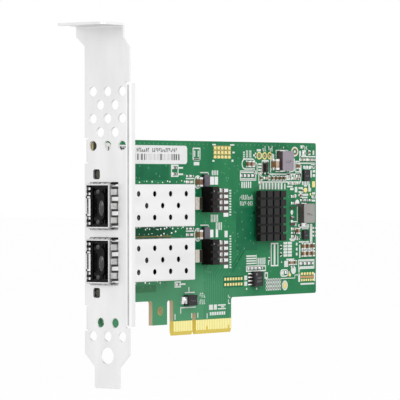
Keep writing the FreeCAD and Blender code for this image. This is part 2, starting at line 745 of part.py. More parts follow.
def make_plug(level):
    """Dust plug: a dished stopper that fills the cage's mouth, with a U-shaped pull on a cross web."""
    face_x = CAGE_X + PLUG_RECESS
    inset = CAGE_WALL + PLUG_CLEARANCE
    stopper = cage_box(level, inset, (face_x, face_x + PLUG_DEPTH))
    stopper = round_edges(stopper, V(1, 0, 0), PLUG_CORNER_R)
    dish = cage_box(level, inset + PLUG_RIM, (face_x - OVERCUT, face_x + PLUG_DISH))
    stopper = stopper.cut(round_edges(dish, V(1, 0, 0), PLUG_CORNER_R))
    mid_y = CAGE_TOP_Y + CAGE_HEIGHT / 2
    base_x = face_x + PLUG_DISH
    top_x = face_x - PULL_STAND
    bar_y = mid_y - PULL_REACH / 2
    root_y = mid_y + PULL_REACH / 2
    half = PULL_SPAN / 2

    def is_bar_corner(point):
        return point.y < bar_y + PULL_THICK + 1e-6

    outer = box((top_x, base_x), (bar_y, root_y), (level - half, level + half))
    outer = round_edges(outer, V(1, 0, 0), PULL_BEND_R, is_bar_corner)
    inner_half = half - PULL_THICK
    inner = box((top_x - OVERCUT, base_x), (bar_y + PULL_THICK, root_y + OVERCUT),
                (level - inner_half, level + inner_half))
    inner = round_edges(inner, V(1, 0, 0), PULL_BEND_R - PULL_THICK, is_bar_corner)
    pull = outer.cut(inner)
    web_y = (bar_y + (PULL_THICK - PULL_WEB) / 2, bar_y + (PULL_THICK + PULL_WEB) / 2)
    web = box((face_x, base_x), web_y, (level - CAGE_WIDTH / 2 + inset + PLUG_RIM,
                                        level + CAGE_WIDTH / 2 - inset - PLUG_RIM))
    return stopper.fuse([pull, web]).removeSplitter()


def socket_front_x():
    """X of the front of the module sockets inside the cages."""
    return CAGE_X + CAGE_LENGTH - CAGE_WALL - SOCKET_REAR_GAP - SOCKET_LENGTH


def make_socket(level):
    """Module socket that stands on the board in the rear of a cage."""
    front = socket_front_x()
    half = SOCKET_WIDTH / 2
    body = box((front, front + SOCKET_LENGTH), (-SOCKET_HEIGHT, 0), (level - half, level + half))
    body = bevel_top(body, -SOCKET_HEIGHT, SOCKET_BEVEL)
    mid_y = -SOCKET_HEIGHT / 2 - SOCKET_SLOT / 2
    slot = box((front - OVERCUT, front + SOCKET_SLOT_DEPTH), (mid_y, mid_y + SOCKET_SLOT),
               (level - SOCKET_SLOT_WIDTH / 2, level + SOCKET_SLOT_WIDTH / 2))
    return body.cut(slot)


def make_socket_contacts():
    """Soldered tails of both sockets, in a front and a rear row each."""
    tails = []
    for level in PORT_LEVELS.values():
        first = level - (SOCKET_CONTACTS - 1) * SOCKET_PITCH / 2
        for count in range(SOCKET_CONTACTS):
            z = first + count * SOCKET_PITCH
            z_range = (z - SOCKET_TAIL_WIDTH / 2, z + SOCKET_TAIL_WIDTH / 2)
            rear = socket_front_x() + SOCKET_LENGTH
            tails.append(box((rear, rear + SOCKET_TAIL_LENGTH), (-SOCKET_TAIL_THICK, 0), z_range))
            front = socket_front_x()
            tails.append(box((front - SOCKET_TAIL_LENGTH, front), (-SOCKET_TAIL_THICK, 0), z_range))
    return Part.makeCompound(tails)


# ---------------------------------------------------------------- status lamps
def lamp_front_x():
    """X of the front of the lamp housings, just behind the bracket's plate."""
    return from_face(LAMP_START)


def make_lamp_housing(level):
    """Right-angle lamp housing that stands on the board behind its window."""
    front = lamp_front_x()
    half = LAMP_WIDTH / 2
    body = box((front, front + LAMP_DEPTH), (-LAMP_HEIGHT, 0), (level - half, level + half))
    body = bevel_top(body, -LAMP_HEIGHT, LAMP_BEVEL)
    pocket = drill_x(WINDOW_Y, level, LENS_R, front - OVERCUT, OVERCUT + LENS_DEPTH)
    return body.cut(pocket)


def make_lenses():
    """Clear lenses that sit in the two housings and look out through the windows."""
    lenses = []
    front = lamp_front_x()
    for level in WINDOW_LEVELS.values():
        lenses.append(drill_x(WINDOW_Y, level, LENS_R, front - LENS_STAND, LENS_STAND + LENS_DEPTH))
    return Part.makeCompound(lenses)


# ---------------------------------------------------------------- controller and heat sink
def make_controller():
    """Network controller in a moulded square package."""
    chip = square_at(from_face(CHIP_X), CHIP_Z, CHIP_SIDE, CHIP_SIDE, (-CHIP_HEIGHT, 0))
    return bevel_top(chip, -CHIP_HEIGHT, CHIP_BEVEL)


def make_thermal_pad():
    """Soft pad between the controller and its heat sink."""
    y_range = (-CHIP_HEIGHT - PAD_THICK, -CHIP_HEIGHT)
    return square_at(from_face(CHIP_X), CHIP_Z, PAD_SIDE, PAD_SIDE, y_range)


def make_heat_sink():
    """Pin-fin heat sink: a base that overhangs the controller, sawn into rows and columns of pins."""
    under_y = -CHIP_HEIGHT - PAD_THICK
    base_y = under_y - SINK_BASE
    top_y = base_y - PIN_HEIGHT
    x0 = from_face(CHIP_X) - SINK_WIDTH / 2
    z0 = CHIP_Z - SINK_HEIGHT / 2
    sink = box((x0, x0 + SINK_WIDTH), (top_y, under_y), (z0, z0 + SINK_HEIGHT))
    pitch_x = (SINK_WIDTH + PIN_GAP_X) / PIN_COLUMNS
    pitch_z = (SINK_HEIGHT + PIN_GAP_Z) / PIN_ROWS
    cuts = []
    all_x = (x0 - OVERCUT, x0 + SINK_WIDTH + OVERCUT)
    all_z = (z0 - OVERCUT, z0 + SINK_HEIGHT + OVERCUT)
    for column in range(1, PIN_COLUMNS):
        end = x0 + column * pitch_x
        cuts.append(box((end - PIN_GAP_X, end), (top_y - OVERCUT, base_y), all_z))
    for row in range(1, PIN_ROWS):
        end = z0 + row * pitch_z
        cuts.append(box(all_x, (top_y - OVERCUT, base_y), (end - PIN_GAP_Z, end)))
    return sink.cut(cuts)


# ---------------------------------------------------------------- line filters
def filter_level(level):
    """Z of the middle of the line filter behind a port."""
    return level + FILTER_RISE_Z


def make_filter(level):
    """Moulded filter block with cross ribs on its top."""
    x0 = from_face(FILTER_X)
    z0 = filter_level(level) - FILTER_LENGTH / 2
    body = box((x0, x0 + FILTER_WIDTH), (-FILTER_HEIGHT, 0), (z0, z0 + FILTER_LENGTH))
    pitch = (FILTER_LENGTH + FILTER_GROOVE) / FILTER_RIBS
    cuts = []
    for rib in range(1, FILTER_RIBS):
        end = z0 + rib * pitch
        groove_y = (-FILTER_HEIGHT - OVERCUT, -FILTER_HEIGHT + FILTER_GROOVE_DEPTH)
        cuts.append(box((x0 - OVERCUT, x0 + FILTER_WIDTH + OVERCUT), groove_y, (end - FILTER_GROOVE, end)))
    return body.cut(cuts)


def make_filter_leads():
    """Bent tinned leads on the far side of both filters."""
    leads = []
    side_x = from_face(FILTER_X) + FILTER_WIDTH
    pitch = (FILTER_LENGTH + FILTER_GROOVE) / FILTER_RIBS
    for level in PORT_LEVELS.values():
        first = filter_level(level) - FILTER_LENGTH / 2 + (pitch - FILTER_GROOVE) / 2
        for rib in range(FILTER_RIBS):
            z = first + rib * pitch
            profile = [
                V(side_x, 0, z - FILTER_LEAD_WIDTH / 2),
                V(side_x + FILTER_LEAD_REACH, 0, z - FILTER_LEAD_WIDTH / 2),
                V(side_x + FILTER_LEAD_REACH, -FILTER_LEAD_THICK, z - FILTER_LEAD_WIDTH / 2),
                V(side_x + FILTER_LEAD_THICK, -FILTER_LEAD_THICK, z - FILTER_LEAD_WIDTH / 2),
                V(side_x + FILTER_LEAD_THICK, -FILTER_LEAD_TOP, z - FILTER_LEAD_WIDTH / 2),
                V(side_x, -FILTER_LEAD_TOP, z - FILTER_LEAD_WIDTH / 2),
            ]
            leads.append(chain(profile, V(0, 0, FILTER_LEAD_WIDTH)))
    return Part.makeCompound(leads)


# ---------------------------------------------------------------- inductors
def make_power_inductor(x, z):
    """Moulded power inductor with chamfered corners, lifted on its two terminals."""
    body = square_at(x, z, INDUCTOR_SIDE, INDUCTOR_SIDE, (-INDUCTOR_HEIGHT, -INDUCTOR_FOOT))
    body = bevel_edges(body, V(0, 1, 0), INDUCTOR_CHAMFER)
    return bevel_top(body, -INDUCTOR_HEIGHT, INDUCTOR_BEVEL)


INDUCTOR_PLACES = {"a": (112.3, 60.1), "b": (125.9, 41.2)}


def make_inductor_terminals():
    """Flat tinned terminals under the power inductors."""
    pads = []
    for distance, z in INDUCTOR_PLACES.values():
        for side in (-1, 1):
            middle = z + side * (INDUCTOR_SIDE - INDUCTOR_PAD_LENGTH) / 2
            pads.append(square_at(from_face(distance), middle, INDUCTOR_PAD_WIDTH, INDUCTOR_PAD_LENGTH,
                                  (-INDUCTOR_FOOT, 0)))
    return Part.makeCompound(pads)


def make_port_coils():
    """Pale moulded coils between the cages and the filters."""
    coils = []
    for level in PORT_LEVELS.values():
        body = square_at(from_face(PORT_COIL_X), level + PORT_COIL_RISE, PORT_COIL_WIDTH, PORT_COIL_LENGTH,
                         (-PORT_COIL_HEIGHT, 0))
        coils.append(bevel_top(body, -PORT_COIL_HEIGHT, MOULD_BEVEL))
    return Part.makeCompound(coils)


def make_supply_beads():
    """Dark ferrite beads beside the large capacitors of each port."""
    beads = []
    for level in PORT_LEVELS.values():
        body = square_at(from_face(BEAD_X), level + BEAD_RISE, BEAD_WIDTH, BEAD_LENGTH, (-BEAD_HEIGHT, 0))
        beads.append(bevel_top(body, -BEAD_HEIGHT, MOULD_BEVEL))
    return Part.makeCompound(beads)


# ---------------------------------------------------------------- chips
def make_memory_body():
    """Moulded body of the eight-lead memory chip."""
    x = from_face(MEMORY_X) + MEMORY_SPAN / 2
    body = square_at(x, MEMORY_Z, MEMORY_BODY, MEMORY_BODY, (-MEMORY_HEIGHT, -MEMORY_STANDOFF))
    return bevel_top(body, -MEMORY_HEIGHT, MEMORY_BEVEL)


def make_memory_leads():
    """Gull-wing leads of the memory chip, on two sides."""
    leads = []
    centre_x = from_face(MEMORY_X) + MEMORY_SPAN / 2
    first = MEMORY_Z - (MEMORY_LEADS - 1) * MEMORY_PITCH / 2
    for side in (-1, 1):
        body_x = centre_x + side * MEMORY_BODY / 2
        tip_x = centre_x + side * MEMORY_SPAN / 2
        foot_x = tip_x - side * LEAD_FOOT
        for count in range(MEMORY_LEADS):
            z = first + count * MEMORY_PITCH - LEAD_WIDTH / 2
            profile = [
                V(body_x, -LEAD_SHOULDER, z),
                V(foot_x - side * LEAD_THICK, -LEAD_SHOULDER, z),
                V(foot_x, -LEAD_THICK, z),
                V(tip_x, -LEAD_THICK, z),
                V(tip_x, 0, z),
                V(foot_x - side * LEAD_THICK, 0, z),
                V(foot_x - side * 2 * LEAD_THICK, LEAD_THICK - LEAD_SHOULDER, z),
                V(body_x, LEAD_THICK - LEAD_SHOULDER, z),
            ]
            leads.append(chain(profile, V(0, 0, LEAD_WIDTH)))
    return Part.makeCompound(leads)


def make_regulators():
    """Leadless regulator chips beside the power inductors."""
    chips = []
    for distance, z, side in REGULATORS:
        chip = square_at(from_face(distance), z, side, side, (-REGULATOR_HEIGHT, 0))
        chips.append(bevel_top(chip, -REGULATOR_HEIGHT, REGULATOR_BEVEL))
    return Part.makeCompound(chips)


def make_transistor():
    """Small three-lead transistor body near the large capacitors."""
    distance, z = TRANSISTOR_PLACE
    body = square_at(from_face(distance), z, TRANSISTOR_WIDTH, TRANSISTOR_LENGTH, (-TRANSISTOR_HEIGHT, 0))
    return bevel_top(body, -TRANSISTOR_HEIGHT, TRANSISTOR_BEVEL)


def make_diode_body():
    """Moulded protection diode near the locating tab."""
    x = from_face(DIODE_X) + DIODE_TERMINAL + DIODE_WIDTH / 2
    body = square_at(x, DIODE_Z, DIODE_WIDTH, DIODE_LENGTH, (-DIODE_HEIGHT, 0))
    return bevel_top(body, -DIODE_HEIGHT, DIODE_BEVEL)


def make_diode_terminals():
    """Tinned terminals that wrap up both ends of the diode."""
    terminals = []
    half = DIODE_TERMINAL_WIDTH / 2
    start_x = from_face(DIODE_X) + DIODE_TERMINAL
    for end_x, side in ((start_x, -1), (start_x + DIODE_WIDTH, 1)):
        profile = [
            V(end_x, 0, DIODE_Z - half),
            V(end_x + side * DIODE_PAD, 0, DIODE_Z - half),
            V(end_x + side * DIODE_PAD, -DIODE_TERMINAL, DIODE_Z - half),
            V(end_x + side * DIODE_TERMINAL, -DIODE_TERMINAL, DIODE_Z - half),
            V(end_x + side * DIODE_TERMINAL, -DIODE_TERMINAL_TOP, DIODE_Z - half),
            V(end_x, -DIODE_TERMINAL_TOP, DIODE_Z - half),
        ]
        terminals.append(chain(profile, V(0, 0, 2 * half)))
    return Part.makeCompound(terminals)


# ---------------------------------------------------------------- chip parts
# Each entry: distance from the bracket's face, Z, size, and whether its length runs along Z.
LARGE_CAPS = [
    (106.2, 58.8, CAP_TALL, True),
    (89.9, 58.9, CAP_MEDIUM, True), (92.4, 58.9, CAP_MEDIUM, True),
    (121.4, 58.3, CAP_MEDIUM, True),
]
SMALL_CAPS = [
    (123.9, 60.6, CAP_SMALL, False), (128.7, 60.6, CAP_SMALL, False),
    (101.2, 53.9, CAP_SMALL, False), (118.9, 53.9, CAP_SMALL, False),
    (121.2, 34.9, CAP_MEDIUM, True),
    (116.5, 23.5, CAP_SMALL, True), (119.7, 23.5, CAP_SMALL, True),
    (114.6, 20.0, CAP_SMALL, False),
]
# As above, with Z counted from the middle of each port.
PORT_CAPS = [(54.4, 7.9, CAP_SMALL, False), (56.7, 7.9, CAP_SMALL, False), (60.2, 7.9, CAP_LARGE, True)]
CAP_ARRAY_START = (124.9, 26.6)
CAP_ARRAY_PITCH = (2.9, 2.7)
CAP_ARRAY_COUNT = (3, 2)
SUPPLY_ROW_START = 105.6
SUPPLY_ROW_Z = 53.9
SUPPLY_ROW_PITCH = 2.4
SUPPLY_ROW_COUNT = 4
EDGE_COLUMN_X = 118.6
EDGE_COLUMN_LEVELS = (32.9, 35.6, 44.9, 47.3)
PORT_RESISTOR_X = 74.6
PORT_RESISTOR_PITCH = 2.06
PORT_RESISTORS = 4
STRIP_START = 86.9
STRIP_PITCH = 2.3
STRIP_COUNT = 3
STRIP_Z = 54.8
LAMP_RESISTOR_X = 46.4
LAMP_RESISTOR_DROPS = (1.3, 3.35)
NETWORK_START = 124.6
NETWORK_PITCH = 2.6
NETWORK_COUNT = 3
NETWORK_Z = 23.0


def capacitor_places():
    """Every chip capacitor, those in rows included."""
    places = LARGE_CAPS + SMALL_CAPS
    for level in PORT_LEVELS.values():
        for distance, rise, size, upright in PORT_CAPS:
            places.append((distance, level + rise, size, upright))
    for column in range(CAP_ARRAY_COUNT[0]):
        for row in range(CAP_ARRAY_COUNT[1]):
            x = CAP_ARRAY_START[0] + column * CAP_ARRAY_PITCH[0]
            z = CAP_ARRAY_START[1] + row * CAP_ARRAY_PITCH[1]
            places.append((x, z, CAP_MEDIUM, True))
    for count in range(SUPPLY_ROW_COUNT):
        places.append((SUPPLY_ROW_START + count * SUPPLY_ROW_PITCH, SUPPLY_ROW_Z, CAP_SMALL, True))
    for z in EDGE_COLUMN_LEVELS:
        places.append((EDGE_COLUMN_X, z, CAP_SMALL, False))
    return places


def resistor_places():
    """Every chip resistor."""
    places = []
    for level in PORT_LEVELS.values():
        first = filter_level(level) - (PORT_RESISTORS - 1) * PORT_RESISTOR_PITCH / 2
        for count in range(PORT_RESISTORS):
            places.append((PORT_RESISTOR_X, first + count * PORT_RESISTOR_PITCH, RESISTOR_LARGE, False))
    for count in range(STRIP_COUNT):
        places.append((STRIP_START + count * STRIP_PITCH, STRIP_Z, RESISTOR, False))
    for drop in LAMP_RESISTOR_DROPS:
        places.append((LAMP_RESISTOR_X, LABEL_BOTTOM_Z - drop, RESISTOR, False))
    for count in range(NETWORK_COUNT):
        places.append((NETWORK_START + count * NETWORK_PITCH, NETWORK_Z, RESISTOR, False))
    return places


def chip_part(distance, z, size, upright):
    """Body and two end caps of one chip part."""
    length, width, height = size
    cap = length * END_SHARE
    x = from_face(distance)

    def piece(start, end, proud):
        half = width / 2 + proud
        y_range = (-height - proud, 0)
        if upright:
            return box((x - half, x + half), y_range, (z + start, z + end))
        return box((x + start, x + end), y_range, (z - half, z + half))

    body = piece(cap - length / 2, length / 2 - cap, 0)
    caps = [piece(-length / 2, cap - length / 2, END_PROUD), piece(length / 2 - cap, length / 2, END_PROUD)]
    return body, caps


def make_chip_parts(places):
    """Bodies of the listed chip parts, and all their end caps."""
    bodies = []
    ends = []
    for distance, z, size, upright in places:
        body, caps = chip_part(distance, z, size, upright)
        bodies.append(body)
        ends.extend(caps)
    return Part.makeCompound(bodies), Part.makeCompound(ends)


def make_label():
    """Thin paper label beside the upper port."""
    return rounded_box((from_face(LABEL_START), from_face(LABEL_END)), (-LABEL_THICK, 0),
                       (LABEL_BOTTOM_Z, LABEL_TOP_Z), V(0, 1, 0), LABEL_CORNER_R)


# ---------------------------------------------------------------- all sub-parts
def sub_parts():
    """Name and shape of every sub-part."""
    parts = {
        "board": make_board(),
        "edge_contacts_component_side": make_contacts(0, -1, SHORT_COMPONENT_CONTACTS),
        "edge_contacts_solder_side": make_contacts(SOLDER_Y, 1, SHORT_SOLDER_CONTACTS),
        "bracket": make_bracket(),
        "bracket_screws": make_bracket_screws(),
    }
    for name, level in PORT_LEVELS.items():
        parts["cage_" + name] = make_cage(level)
        parts["grounding_collar_" + name] = make_collar(level)
        parts["dust_plug_" + name] = make_plug(level)
        parts["module_socket_" + name] = make_socket(level)
        parts["line_filter_" + name] = make_filter(level)
    parts["module_socket_contacts"] = make_socket_contacts()
    parts["line_filter_leads"] = make_filter_leads()
    for name, level in WINDOW_LEVELS.items():
        parts["lamp_housing_" + name] = make_lamp_housing(level)
    parts["lamp_lenses"] = make_lenses()
    parts["network_controller"] = make_controller()
    parts["thermal_pad"] = make_thermal_pad()
    parts["heat_sink"] = make_heat_sink()
    for name, (distance, z) in INDUCTOR_PLACES.items():
        parts["power_inductor_" + name] = make_power_inductor(from_face(distance), z)
    parts["inductor_terminals"] = make_inductor_terminals()
    parts["port_coils"] = make_port_coils()
    parts["supply_beads"] = make_supply_beads()
    parts["memory_chip"] = make_memory_body()
    parts["memory_leads"] = make_memory_leads()
    parts["regulators"] = make_regulators()
    parts["transistor"] = make_transistor()
    parts["diode"] = make_diode_body()
    parts["diode_terminals"] = make_diode_terminals()
    capacitors, capacitor_ends = make_chip_parts(capacitor_places())
    resistors, resistor_ends = make_chip_parts(resistor_places())
    parts["capacitors"] = capacitors
    parts["capacitor_ends"] = capacitor_ends
    parts["resistors"] = resistors
    parts["resistor_ends"] = resistor_ends
    parts["label"] = make_label()
    return parts


os.makedirs("parts", exist_ok=True)
for part_name, part_shape in sub_parts().items():
    part_shape.exportStep("parts/" + part_name + ".step")
    print(part_name, "solids", len(part_shape.Solids), "valid", part_shape.isValid())
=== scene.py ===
"""Finish and fine surface detail of a two-port optical network interface card.

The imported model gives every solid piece. This script adds finishes, the printed legend, plated pads, solder
joints, small chips and a plain studio. Lengths in the classes are millimetres unless a name says otherwise.
"""
import json
import logging
import math
import random
from dataclasses import dataclass, replace
from enum import Enum

import bmesh
import bpy
from mathutils import Matrix, Vector


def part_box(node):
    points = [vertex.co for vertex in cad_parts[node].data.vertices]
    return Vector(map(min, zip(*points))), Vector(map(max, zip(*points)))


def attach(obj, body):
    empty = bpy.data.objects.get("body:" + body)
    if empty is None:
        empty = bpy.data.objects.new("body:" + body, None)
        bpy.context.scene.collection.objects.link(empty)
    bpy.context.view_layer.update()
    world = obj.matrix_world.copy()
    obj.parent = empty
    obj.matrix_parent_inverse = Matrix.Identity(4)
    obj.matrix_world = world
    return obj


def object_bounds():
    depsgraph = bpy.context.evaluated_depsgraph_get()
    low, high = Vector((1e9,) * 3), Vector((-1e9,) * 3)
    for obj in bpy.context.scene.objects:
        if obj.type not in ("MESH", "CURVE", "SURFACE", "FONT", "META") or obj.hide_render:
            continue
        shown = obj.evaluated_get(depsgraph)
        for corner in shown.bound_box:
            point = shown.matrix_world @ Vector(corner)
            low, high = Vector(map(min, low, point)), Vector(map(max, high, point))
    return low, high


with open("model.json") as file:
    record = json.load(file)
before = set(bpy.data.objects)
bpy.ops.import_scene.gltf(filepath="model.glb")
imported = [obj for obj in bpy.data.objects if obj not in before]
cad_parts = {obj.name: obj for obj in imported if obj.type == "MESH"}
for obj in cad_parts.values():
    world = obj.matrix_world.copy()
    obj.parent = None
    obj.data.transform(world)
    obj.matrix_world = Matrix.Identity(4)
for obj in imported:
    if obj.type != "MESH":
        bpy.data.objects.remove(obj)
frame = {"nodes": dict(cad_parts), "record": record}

CAD_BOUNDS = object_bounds()
LOG = logging.getLogger("network_card")
MM = 0.001
UM = 1e-6
Colour = tuple[float, float, float]
Point = tuple[float, float, float]
Place = tuple[float, float]
Span = tuple[float, float]
Outline = list[Place]


class Bench:
    """One material under construction: it adds nodes and joins them."""

    noise_range = (0.3, 0.7)
    wave_period = 0.314

    def __init__(self, name: str) -> None:
        """Start a material with a principled surface.

        Args:
            name: Name of the material.
        """
        self.material = bpy.data.materials.new(name)
        self.material.use_nodes = True
        self.tree = self.material.node_tree
        self.surface = self.tree.nodes["Principled BSDF"]
        self.output = self.tree.nodes["Material Output"]
        self.place = self.add("ShaderNodeTexCoord").outputs["Object"]

    def add(self, kind: str, **settings: object) -> bpy.types.Node:
        """Add a node and set its properties.

        Args:
            kind: Type name of the node.
            settings: Property names and values.

        Returns:
            The new node.
        """
        node = self.tree.nodes.new(kind)
        for key, value in settings.items():
            setattr(node, key, value)
        return node

    def join(self, source: bpy.types.NodeSocket, target: bpy.types.NodeSocket) -> None:
        """Link two sockets."""
        self.tree.links.new(source, target)

    def put(self, socket: bpy.types.NodeSocket, value: object) -> None:
        """Link a socket, or set it where the value is a constant.

        Args:
            socket: Input socket to feed.
            value: Another node's output, or a plain value.
        """
        if isinstance(value, bpy.types.NodeSocket):
            self.join(value, socket)
        else:
            socket.default_value = value

    def noise(self, grain_mm: float, detail: float = 3.0, stretch: Point = (1, 1, 1)) -> bpy.types.NodeSocket:
        """Noise whose blotches measure about grain_mm.

        Args:
            grain_mm: Size of a blotch.
            detail: Octaves of the noise.
            stretch: Scale of the place along each axis before the noise.

        Returns:
            Output with values round a half.
        """
        place = self.add("ShaderNodeMapping")
        self.join(self.place, place.inputs["Vector"])
        place.inputs["Scale"].default_value = stretch
        node = self.add("ShaderNodeTexNoise")
        self.join(place.outputs["Vector"], node.inputs["Vector"])
        node.inputs["Scale"].default_value = 1 / (grain_mm * MM)
        node.inputs["Detail"].default_value = detail
        return node.outputs["Fac"]

    def spread(self, source: bpy.types.NodeSocket, low: float, high: float) -> bpy.types.NodeSocket:
        """Noise moved into a range.

        Args:
            source: Values round a half.
            low: Result at the low end.
            high: Result at the high end.

        Returns:
            Output within the range.
        """
        node = self.add("ShaderNodeMapRange")
        self.join(source, node.inputs["Value"])
        node.inputs["From Min"].default_value = self.noise_range[0]
        node.inputs["From Max"].default_value = self.noise_range[1]
        node.inputs["To Min"].default_value = low
        node.inputs["To Max"].default_value = high
        return node.outputs["Result"]

    def wave(self, direction: str, pitch_mm: float, waver: float) -> bpy.types.NodeSocket:
        """Even bands that follow each other along one axis.

        Args:
            direction: Name of the axis.
            pitch_mm: Distance from band to band.
            waver: How far the bands wander.

        Returns:
            Output from 0 to 1.
        """
        node = self.add("ShaderNodeTexWave", bands_direction=direction)
        self.join(self.place, node.inputs["Vector"])
        node.inputs["Scale"].default_value = self.wave_period / (pitch_mm * MM)
        node.inputs["Distortion"].default_value = waver
        return node.outputs["Fac"]

    def mix(self, share: object, first: object, second: object) -> bpy.types.NodeSocket:
        """Mix of two colours.

        Args:
            share: Part of the second colour.
            first: First colour, a value or an output.
            second: Second colour, a value or an output.

        Returns:
            The mixed colour.
        """
        node = self.add("ShaderNodeMix", data_type="RGBA")
        self.put(node.inputs[0], share)
        for socket, colour in ((node.inputs[6], first), (node.inputs[7], second)):
            self.put(socket, (*colour, 1.0) if isinstance(colour, tuple) else colour)
        return node.outputs[2]

    def maths(self, operation: str, first: object, second: object = 0.0) -> bpy.types.NodeSocket:
        """Result of one sum on two values.

        Args:
            operation: Name of the sum, such as MULTIPLY.
            first: First value or output.
            second: Second value or output.

        Returns:
            The result.
        """
        node = self.add("ShaderNodeMath", operation=operation)
        self.put(node.inputs[0], first)
        self.put(node.inputs[1], second)
        return node.outputs[0]

    def facing(self, least: float) -> bpy.types.NodeSocket:
        """Output that is 1 on faces parallel to the board and 0 elsewhere.

        Args:
            least: Smallest share of the normal across the board.

        Returns:
            The output.
        """
        normal = self.add("ShaderNodeSeparateXYZ")
        self.join(self.add("ShaderNodeNewGeometry").outputs["True Normal"], normal.inputs[0])
        return self.maths("GREATER_THAN", self.maths("ABSOLUTE", normal.outputs["Y"]), least)

    def bump(self, height: bpy.types.NodeSocket, depth_um: float, strength: float = 1.0) -> None:
        """Feed a height into the surface's normal.

        Args:
            height: Output from 0 to 1.
            depth_um: Depth of the relief in micrometres.
            strength: Share of the relief that shows.
        """
        node = self.add("ShaderNodeBump")
        self.join(height, node.inputs["Height"])
        node.inputs["Distance"].default_value = depth_um * UM
        node.inputs["Strength"].default_value = strength
        self.join(node.outputs["Normal"], self.surface.inputs["Normal"])


@dataclass(frozen=True)
class Finish:
    """A surface with a mottled tone, uneven gloss and a fine grain."""

    name: str
    colour: Colour
    tone: Colour
    metallic: float = 0.0
    roughness: Span = (0.4, 0.5)
    mottle_mm: float = 3.0
    grain_mm: float = 0.12
    depth_um: float = 6.0
    stretch: Point = (1.0, 1.0, 1.0)
    coat: float = 0.0
    transmission: float = 0.0
    specular: float = 0.5
    coat_roughness: float = 0.12
    mottle_detail: float = 4.0
    grain_detail: float = 2.0
    relief: float = 0.6

    def build(self) -> bpy.types.Material:
        """Make the material.

        Returns:
            The finished material.
        """
        bench = Bench(self.name)
        mottle = bench.noise(self.mottle_mm, self.mottle_detail, self.stretch)
        share = bench.spread(mottle, 0.0, 1.0)
        bench.join(bench.mix(share, self.colour, self.tone), bench.surface.inputs["Base Color"])
        bench.join(bench.spread(mottle, *self.roughness), bench.surface.inputs["Roughness"])
        for name, value in (
                ("Metallic", self.metallic), ("Coat Weight", self.coat),
                ("Coat Roughness", self.coat_roughness), ("Transmission Weight", self.transmission),
                ("Specular IOR Level", self.specular)):
            bench.surface.inputs[name].default_value = value
        bench.bump(bench.noise(self.grain_mm, self.grain_detail, self.stretch), self.depth_um, self.relief)
        return bench.material


@dataclass(frozen=True)
class MaskFinish:
    """Green solder mask on the two faces, paler towards the lower corner by the bracket as painted light, and
    bare laminate on the edges and beside the contacts.
    """

    name: str = "green_solder_mask"
    green: Colour = (0.010, 0.178, 0.070)
    copper_green: Colour = (0.036, 0.268, 0.104)
    # Painted light: the mask is mixed towards this paler green near the board's lower corner by the bracket.
    pale_green: Colour = (0.088, 0.330, 0.166)
    pale_up_mm: Span = (27.0, 15.0)
    pale_along_mm: Span = (104.0, 56.0)
    laminate: Colour = (0.74, 0.60, 0.42)
    laminate_dark: Colour = (0.46, 0.36, 0.20)
    bare: Colour = (0.84, 0.66, 0.13)
    bare_below_mm: float = 4.9
    bare_beyond_mm: float = 43.5
    ply_mm: float = 0.22
    ply_waver: float = 1.5
    trace_pitch_mm: float = 0.55
    trace_waver: float = 0.6
    trace_share: float = 0.30
    routed_mm: float = 9.0
    routed_range: Span = (-0.6, 1.2)
    pour_mm: float = 14.0
    pour_share: float = 0.75
    face_least: float = 0.7
    gloss_mm: float = 2.0
    roughness: Span = (0.30, 0.42)
    specular: float = 0.09
    depth_um: float = 10.0
    relief: float = 0.4

    @staticmethod
    def ramp(bench: Bench, place: bpy.types.NodeSocket, zero: float, ends_mm: Span) -> bpy.types.NodeSocket:
        """Output that rises smoothly from 0 to 1 between two places.

        Args:
            bench: Holds the nodes.
            place: Coordinate in metres.
            zero: Coordinate of the board's corner.
            ends_mm: Distances of 0 and of 1 from the corner.

        Returns:
            The output.
        """
        start, end = (zero + value * MM for value in ends_mm)
        node = bench.add("ShaderNodeMapRange", interpolation_type="SMOOTHSTEP")
        bench.join(place, node.inputs["Value"])
        node.inputs["From Min"].default_value = start
        node.inputs["From Max"].default_value = end
        return node.outputs["Result"]

    def build(self) -> bpy.types.Material:
        """Make the material.

        Returns:
            The finished material.
        """
        bench = Bench(self.name)
        facing = bench.facing(self.face_least)
        pour = bench.spread(bench.noise(self.pour_mm, 2.0), 0.0, 1.0)
        lines = bench.wave("Z", self.trace_pitch_mm, self.trace_waver)
        patches = bench.spread(bench.noise(self.routed_mm, 1.0), *self.routed_range)
        routed = bench.maths("MAXIMUM", bench.maths("MULTIPLY", lines, patches), 0.0)
        copper = bench.maths("ADD", bench.maths("MULTIPLY", routed, self.trace_share),
                             bench.maths("MULTIPLY", pour, self.pour_share))
        mask = bench.mix(bench.maths("MINIMUM", copper, 1.0), self.green, self.copper_green)
        edge = bench.mix(bench.wave("Y", self.ply_mm, self.ply_waver), self.laminate, self.laminate_dark)
        place = bench.add("ShaderNodeSeparateXYZ")
        bench.join(bench.place, place.inputs[0])
        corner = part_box("board")[0]
        # Painted light: paler mask towards the lower corner by the bracket.
        pale = bench.maths("MULTIPLY", self.ramp(bench, place.outputs["Z"], corner[2], self.pale_up_mm),
                           self.ramp(bench, place.outputs["X"], corner[0], self.pale_along_mm))
        masked = bench.mix(facing, edge, bench.mix(pale, mask, self.pale_green))
        low = bench.maths("LESS_THAN", place.outputs["Z"], corner[2] + self.bare_below_mm * MM)
        far = bench.maths("GREATER_THAN", place.outputs["X"], corner[0] + self.bare_beyond_mm * MM)
        beside_contacts = bench.maths("MULTIPLY", low, far)
        bench.join(bench.mix(beside_contacts, masked, self.bare), bench.surface.inputs["Base Color"])
        gloss = bench.spread(bench.noise(self.gloss_mm, 3.0), *self.roughness)
        bench.join(gloss, bench.surface.inputs["Roughness"])
        bench.surface.inputs["Specular IOR Level"].default_value = self.specular
        bench.bump(routed, self.depth_um, self.relief)
        return bench.material


